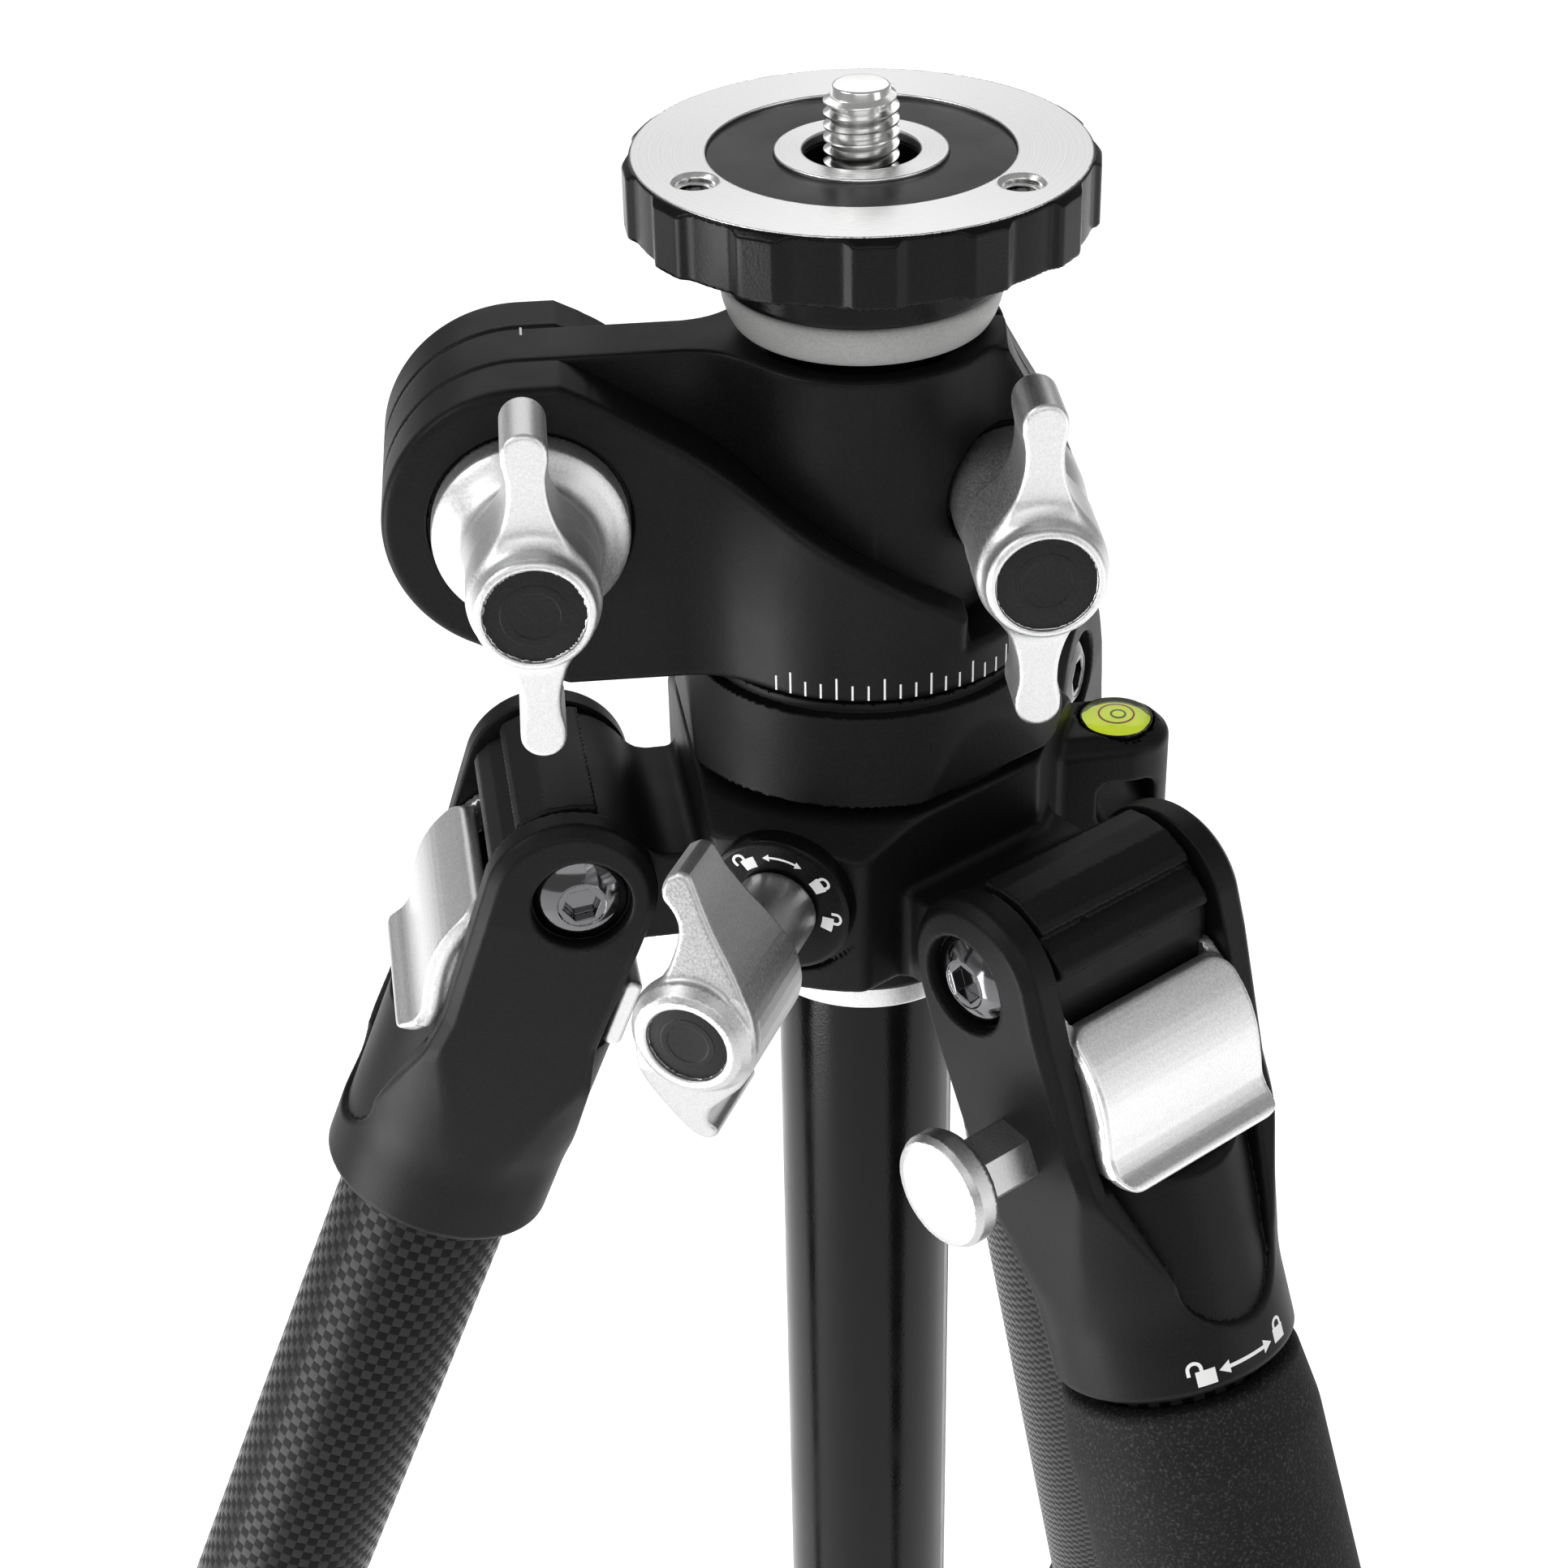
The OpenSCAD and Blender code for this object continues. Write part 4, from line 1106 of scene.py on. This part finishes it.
def add_level():
    """Round bubble level: liquid in a cup, a red ring, a bubble drawn as a ring of painted shade and a clear dome."""
    place = BRACKET @ Matrix.Translation((VIAL_AT, 0, -87.5))
    liquid = [(0, -4.6), (VIAL_R - 0.6, -4.6), (VIAL_R - 0.6, -2.4), (0, -2.3)]
    turned_piece("level_vial", liquid, place, "spider", "vial", LIQUID_PAINTED_GLOW, ["bubble_level"], closed=False, segments=64)
    wall = [(VIAL_R - 0.62, -4.6), (VIAL_R, -4.6), (VIAL_R, -0.3), (VIAL_R - 0.5, -0.3)]
    turned_piece("level_wall", wall, place, "spider", "vial", MACHINED, segments=64, round_corners=0.1)
    ring = [(2.3, -0.1), (2.6, -0.1), (2.6, 0.05), (2.3, 0.05)]
    red = satin_plastic("ring_red", (0.62, 0.05, 0.02), 0.4)
    turned_piece("level_ring", ring, place, "spider", "vial", red, segments=64, round_corners=0.02)
    # The bubble is only its outline, a flat ring in painted shade.
    bubble = [(0.85, -0.5), (1.15, -0.5), (1.15, -0.3), (0.85, -0.3)]
    place_off = place @ Matrix.Translation((0.3, 0.1, 0))
    turned_piece("level_bubble", bubble, place_off, "spider", "vial", BUBBLE_PAINTED_OUTLINE, segments=40, round_corners=0.05)
    dome = [(VIAL_R, -0.3), (VIAL_R - 0.05, 0.05), (4.5, 0.36), (3.3, 0.6), (1.7, 0.76), (0, 0.8)]
    turned_piece("level_dome", dome, place, "spider", "vial", DOME, closed=False, segments=64)


LOCK_CAP_X = 66.7
# Outline of the bent wing, seen from its front: Y to the right of the lock, Z up.
LOCK_WING = [(-3.2, 21.0), (-1.7, 20.9), (-0.8, 19.6), (0.5, 17.2), (2.4, 14.0), (4.8, 10.6), (7.0, 6.8), (8.1, 3.0),
             (8.1, -2.5), (6.4, -6.4), (3.7, -10.0), (1.2, -13.2), (0.5, -15.1), (0.6, -16.7), (1.3, -17.7),
             (1.0, -18.8), (-0.1, -19.8), (-1.4, -19.8), (-3.0, -18.4), (-4.8, -15.2), (-6.5, -11.6), (-7.5, -8.6),
             (-8.1, -5.0), (-7.8, -0.5), (-6.2, 4.0), (-4.1, 7.4), (-3.2, 9.6), (-2.6, 11.8), (-2.4, 13.7),
             (-2.8, 15.1), (-3.7, 16.3), (-4.8, 17.3), (-5.1, 18.7), (-4.6, 20.1)]


def pan_knob_field(x, y, z):
    r = np.hypot(y, z)
    stem = thick(r - 5.6, between(x, 34.8, 50), 0.4)
    back = 47 + 0.25 * np.clip(z, 0, 18)
    front = 60 + 4.5 * np.clip((21 - np.abs(z)) / 14, 0, 1)
    wing = thick(polygon(y, z, smooth_line(LOCK_WING, 3)), between(x, back, front), 0.7)
    bezel = [(-1, 50), (6.0, 50), (7.0, 62), (8.3, 62.8), (8.4, 63.6), (8.1, 65.0), (7.2, 66.2), (6.4, LOCK_CAP_X),
             (-1, LOCK_CAP_X)]
    body = join(join(stem, wing, 2.0), polygon(r, x, bezel), 0.6)
    return carve(body, np.maximum(r - 5.4, LOCK_CAP_X - 0.7 - x), 0.3)


def add_pan_lock():
    moulded("pan_lock_wing", pan_knob_field, (34.8, -9, -23), (66.7, 9, 23), 0.36, LOCK, "pan_lock",
            LOCK_SILVER_PAINTED_SHADE, ["pan_lock_knob"])
    along_x = LOCK @ Matrix.Rotation(math.radians(90), 4, "Y")
    insert = [(0, LOCK_CAP_X - 1.0), (5.37, LOCK_CAP_X - 1.0), (5.37, LOCK_CAP_X - 0.6), (3.7, LOCK_CAP_X - 0.55),
              (3.6, LOCK_CAP_X - 0.5), (2.8, LOCK_CAP_X - 0.5), (2.7, LOCK_CAP_X - 0.55), (0, LOCK_CAP_X - 0.55)]
    turned_piece("pan_lock_insert", insert, along_x, "pan_lock", "insert_black", INSERT, ["pan_lock_cap"],
                 closed=False, round_corners=0.08, segments=72)
    dial = [(3.1, 31.4), (DIAL_R, 31.4), (DIAL_R, 34.2), (9.4, 34.5), (6.5, 34.5), (3.1, 34.5)]
    turned_piece("pan_lock_disc", dial, along_x, "spider", "black_anodised", MACHINED, ["pan_lock_dial"],
                 round_corners=0.15)
    add_dial_marks()


def add_dial_marks():
    """Padlocks and arrows around the dial, for locked and free."""
    middle = 7.2

    def face(u, v, lift):
        angle = math.pi / 2 - u / middle
        return 34.5 + lift, (middle + v) * math.cos(angle), (middle + v) * math.sin(angle)

    quads = padlock(-4.2, -0.9, 2.0, True) + double_arrow(-2.0, 3.4, 0.3) + padlock(6.6, -0.9, 2.0, False)
    quads += padlock(12.6, -0.9, 2.0, True)
    points, faces = printed(quads, face)
    add_piece("dial_marks", mesh_of(points, faces, LOCK), "spider", PRINT)


# ---------------------------------------------------------------- legs
CHEEK_IN = 14.6
CHEEK_OUT = 19.6
CHEEK_C = 1.4
CHEEK_R = 11.9
SLOT_FLOOR = -27.5
YOKE_R = 17.0
YOKE_LOW = -62.5
SOCKET_R = 17.0
# Greatest distance from the tube's axis, and the cheeks' front and back, at depths below the hinge.
YOKE_REACH = [(0, 24.0), (20, 23.5), (30, 21.2), (38, 19.2), (46, 17.8), (54, 16.4), (60, 15.5), (70, 15.5)]
CHEEK_FRONT = [(0, 13.3), (24, 12.0), (30, 12.6), (54, 17.0)]
CHEEK_BACK = [(0, 10.5), (24, 10.5), (54, 17.0)]
LATCH_LINE = [(11.3, -7.6), (12.6, -9.8), (14.2, -13.5), (14.7, -17.5), (14.1, -22), (13.5, -25.2), (14.2, -28), (15.6, -29.6)]


def at_depth(z, line):
    depths, values = zip(*line)
    return np.interp(-z, depths, values)


def yoke_body(x, y, z):
    """Two flat cheeks whose fronts and backs slope out to meet the round socket of the tube."""
    arch = np.hypot(x - CHEEK_C, z) - CHEEK_R
    edges = np.where(z > 0, arch, np.maximum(x - at_depth(z, CHEEK_FRONT), -x - at_depth(z, CHEEK_BACK)))
    sides = (np.abs(y) - 19.6 + 0.058 * np.maximum(-z - 6, 0)) * 0.998
    reach = np.hypot(x, y) - at_depth(z, smooth_line(YOKE_REACH))
    cheeks = meet(bevelled(edges, sides, 1.5), reach, 0.5)
    socket = np.maximum(np.hypot(x, y) - SOCKET_R, z + 20)
    return join(cheeks, socket, 0.5)


def finger_scoop(x, y, z):
    """The U-shaped hollow under the latch's lip, whose floor is a slimmer round."""
    half, low, top = 8.6, -45.5, -27.0
    outline = np.where(z > low, np.abs(y) - 0.3 * (z - low), np.hypot(y, z - low)) - half
    return np.maximum.reduce([15.4 - np.hypot(x - 0.8, y), outline * 0.95, z - top, -x])


def yoke_field(x, y, z):
    body = bevelled(yoke_body(x, y, z), YOKE_LOW - z, 0.9)
    body = carve(body, finger_scoop(x, y, z), 1.3)
    floor = SLOT_FLOOR - 0.7 * np.maximum(x - 9, 0)
    slot = np.maximum(np.abs(y) - CHEEK_IN, (floor - z) * 0.85)
    body = carve(body, slot, 0.4)
    for side in (-1, 1):
        well = np.maximum(np.hypot(x, z) - 6.9, 17.2 - side * y)
        body = carve(body, well, 0.4)
    return carve(body, np.maximum(np.hypot(x, y) - 13.05, z + 38), 0.3)


def latch_field(x, y, z):
    line = smooth_line(LATCH_LINE, 4)
    plan = rectangle(y, z, (-14.3, -30.4), (14.3, -7.2), 3.2)
    tab = meet(stroke(x, z, line, 1.15), plan, 0.7)
    stem = thick(rectangle(x, z, (-13.0, -23.5), (13.6, -14.5), 1.0), np.abs(y) - 8, 0.4)
    back = thick(rectangle(x, z, (-15.0, -25.8), (-12.2, -14.6), 1.2), np.abs(y) - 13, 0.8)
    wall = np.maximum.reduce([stroke(x + 2.6, z, line, 2.2), np.abs(np.abs(y) - 13.4) - 0.85, -27.5 - z])
    tab = join(tab, wall, 0.8)
    body = join(join(tab, stem, 1.0), back, 1.0)
    hole = rectangle(x, z, (-3.9, -20.9), (5.9, -17.1), 1.9)
    return carve(body, hole, 0.2)


def bolt_field(side):
    """Button head with a hexagon socket, on the outside of one cheek."""
    def field(x, y, z):
        r = np.hypot(x, z)
        out = side * y - 17.3
        dome = length(r, out + 8.4) - 11.0
        head = meet(meet(r - 6.6, between(out, 0, 2.6), 0.3), dome, 0.5)
        countersink = np.maximum(r - 3.3, 1.9 - out)
        head = carve(head, countersink, 0.2)
        return carve(head, np.maximum(hexagon(x, z, 4.6), 0.3 - out), 0.15)
    return field


def add_leg(name, azimuth):
    place = leg_frame(azimuth)
    body = "leg_" + name
    weave = carbon("carbon_weave_" + name, azimuth, 13.0)
    moulded("yoke_casting_" + name, yoke_field, (-17.5, -20, -63), (17.5, 20, 13), 0.5, place, body,
            CASTING, ["yoke_" + name])
    moulded("angle_latch_" + name, latch_field, (-15, -15, -31), (17, 15, -6), 0.4, place, "latch_" + name,
            LATCH_SILVER_PAINTED_LIGHT, ["latch_" + name])
    for side, end in ((-1, "near"), (1, "far")):
        low = (-6.8, min(side * 17.2, side * 20), -6.8)
        high = (6.8, max(side * 17.2, side * 20), 6.8)
        moulded(f"hinge_bolt_head_{end}_{name}", bolt_field(side), low, high, 0.2, place, body,
                DARK_CHROME, ["leg_bolt_" + name] if side == 1 else ())
    across = place @ Matrix.Rotation(math.radians(-90), 4, "X")
    turned_piece("hinge_shaft_" + name, [(0, -17), (4, -17), (4, 17), (0, 17)], across, body, "dark_chrome",
                 DARK_CHROME, closed=False, segments=48)
    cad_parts["latch_pin_" + name].material_slots[0].material = DARK_CHROME
    add_tubes(name, place, weave)


def add_yoke_marks(name, place, body):
    """Open and closed padlock with an arrow between, low on the outside of the socket."""
    def socket(u, v, lift):
        angle = u / SOCKET_R
        return (SOCKET_R + lift) * math.cos(angle), (SOCKET_R + lift) * math.sin(angle), v

    quads = padlock(-8.1, -60.9, 2.8, True) + double_arrow(-6.2, 3.0, -59.4, 0.27) + padlock(5.0, -60.2, 2.5, False)
    points, faces = printed(quads, socket)
    add_piece("twist_marks_" + name, mesh_of(points, faces, place), body, PRINT)


def add_tubes(name, place, weave):
    for node in ("upper_tube_", "middle_tube_", "lower_tube_"):
        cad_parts[node + name].material_slots[0].material = weave
    add_twist_lock("upper_twist_" + name, place, "upper_lock_" + name, 16.4, 13.05, 374, 388.3, 406, 11.6)
    add_twist_lock("lower_twist_" + name, place, "lower_lock_" + name, 14.6, 11.35, 408, 424.3, 438, 9.9)
    foot = [(0, -468.5), (3.5, -468.1), (7.2, -466.2), (10.4, -462.9), (12.1, -459.2), (12.5, -456), (12.5, -453.6),
            (11.4, -453), (11.4, -452.2), (12.5, -451.6), (12.5, -449.6), (11.4, -449), (11.4, -448.2), (12.4, -447.6),
            (12.3, -445.2), (11.2, -444), (9.7, -444)]
    turned_piece("ball_foot_" + name, foot, place, "lower_section_" + name, "foot_rubber", FOOT_RUBBER,
                 ["foot_" + name], closed=False, round_corners=0.3)


def add_twist_lock(piece, place, node, radius, bore, top, step, low, small):
    """A twist lock's sleeve with rubber ribs between two plain bands."""
    ribs = 30
    rows = [(top, radius - 1.3), (top + 0.8, radius - 0.5), (top + 4, radius - 0.5), (top + 5, radius),
            (low - 6, radius), (low - 5, radius - 0.7), (low - 0.8, radius - 0.9), (low, radius - 1.6)]
    segments = ribs * 8
    points, faces = [], []
    turn = 2 * math.pi / segments
    for depth, r in rows:
        ribbed = top + 4.5 < depth < low - 5.5
        for i in range(segments):
            groove = 0.75 * max(0.0, math.cos(i * turn * ribs)) ** 2 if ribbed else 0.0
            points.append(((r - groove) * math.cos(i * turn), (r - groove) * math.sin(i * turn), -depth))
    inner = [(low, small), (step, small), (step, bore), (top, bore)]
    for depth, r in inner:
        points += [(r * math.cos(i * turn), r * math.sin(i * turn), -depth) for i in range(segments)]
    count = len(rows) + len(inner)
    for row in range(count):
        for i in range(segments):
            a, b = row * segments + i, row * segments + (i + 1) % segments
            c, d = (row + 1) % count * segments + (i + 1) % segments, (row + 1) % count * segments + i
            faces.append((a, d, c, b))
    add_piece(piece, mesh_of(points, faces, place), node, LOCK_RUBBER, [node])


def button_field(x, y, z):
    r = np.hypot(x, z + 24.3)
    head = polygon(r, -y, [(-1, 27.6), (7.4, 27.8), (8.0, 28.6), (8.0, 30.8), (7.4, 31.8), (6.4, 32), (-1, 32)])
    shank = thick(hexagon(x, z + 24.3, 8.6), between(-y, 14.4, 29), 0.35)
    body = join(head, shank, 0.6)
    return body


def add_grip_and_button():
    place = leg_frame(SIDES["right"])
    add_yoke_marks("right", place, "leg_right")
    moulded("release_button_body", button_field, (-8.2, -32.2, -33), (8.2, -14.2, -16), 0.3, place,
            "release_button", LOCK_SILVER_PAINTED_SHADE, ["release_button"])
    grip = [(13.02, -64.5), (16.2, -64.5), (16.9, -65.2), (18, -74), (18, -110), (18, -256), (16.6, -262),
            (13.02, -262)]
    points, faces = lathe(grip, round_corners=1.2)
    add_piece("foam_sleeve", mesh_of(soft_edge(points), faces, place), "leg_right", FOAM, ["foam_grip"])


def soft_edge(points):
    """The foam's outside pressed in a little, unevenly, where it meets the yoke."""
    angle = np.arctan2(points[:, 1], points[:, 0])
    near_top = np.clip((points[:, 2] + 90) / 20, 0, 1) * (np.hypot(points[:, 0], points[:, 1]) > 15)
    press = 0.012 + 0.008 * np.sin(3 * angle + 1) + 0.006 * np.sin(7 * angle)
    scale = (1 - near_top * press)[:, None]
    return points * np.hstack([scale, scale, np.ones_like(scale)])


# ---------------------------------------------------------------- plain CAD nodes
NODE_LOOKS = {
    "column_tube": COLUMN, "column_end_cap": MACHINED, "weight_hook": STEEL, "collar_bushing": BEARING,
    "clamp_bolt": DARK_CHROME, "hinge_bolt": DARK_CHROME, "pan_lock_screw": DARK_CHROME,
}


def dress_plain_nodes():
    for node, material in NODE_LOOKS.items():
        for material_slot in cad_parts[node].material_slots:
            material_slot.material = material


add_camera()
light_studio()
add_floor()
add_head()
add_hinge()
add_base()
for leg_name, leg_azimuth in SIDES.items():
    add_leg(leg_name, leg_azimuth)
add_grip_and_button()
dress_plain_nodes()
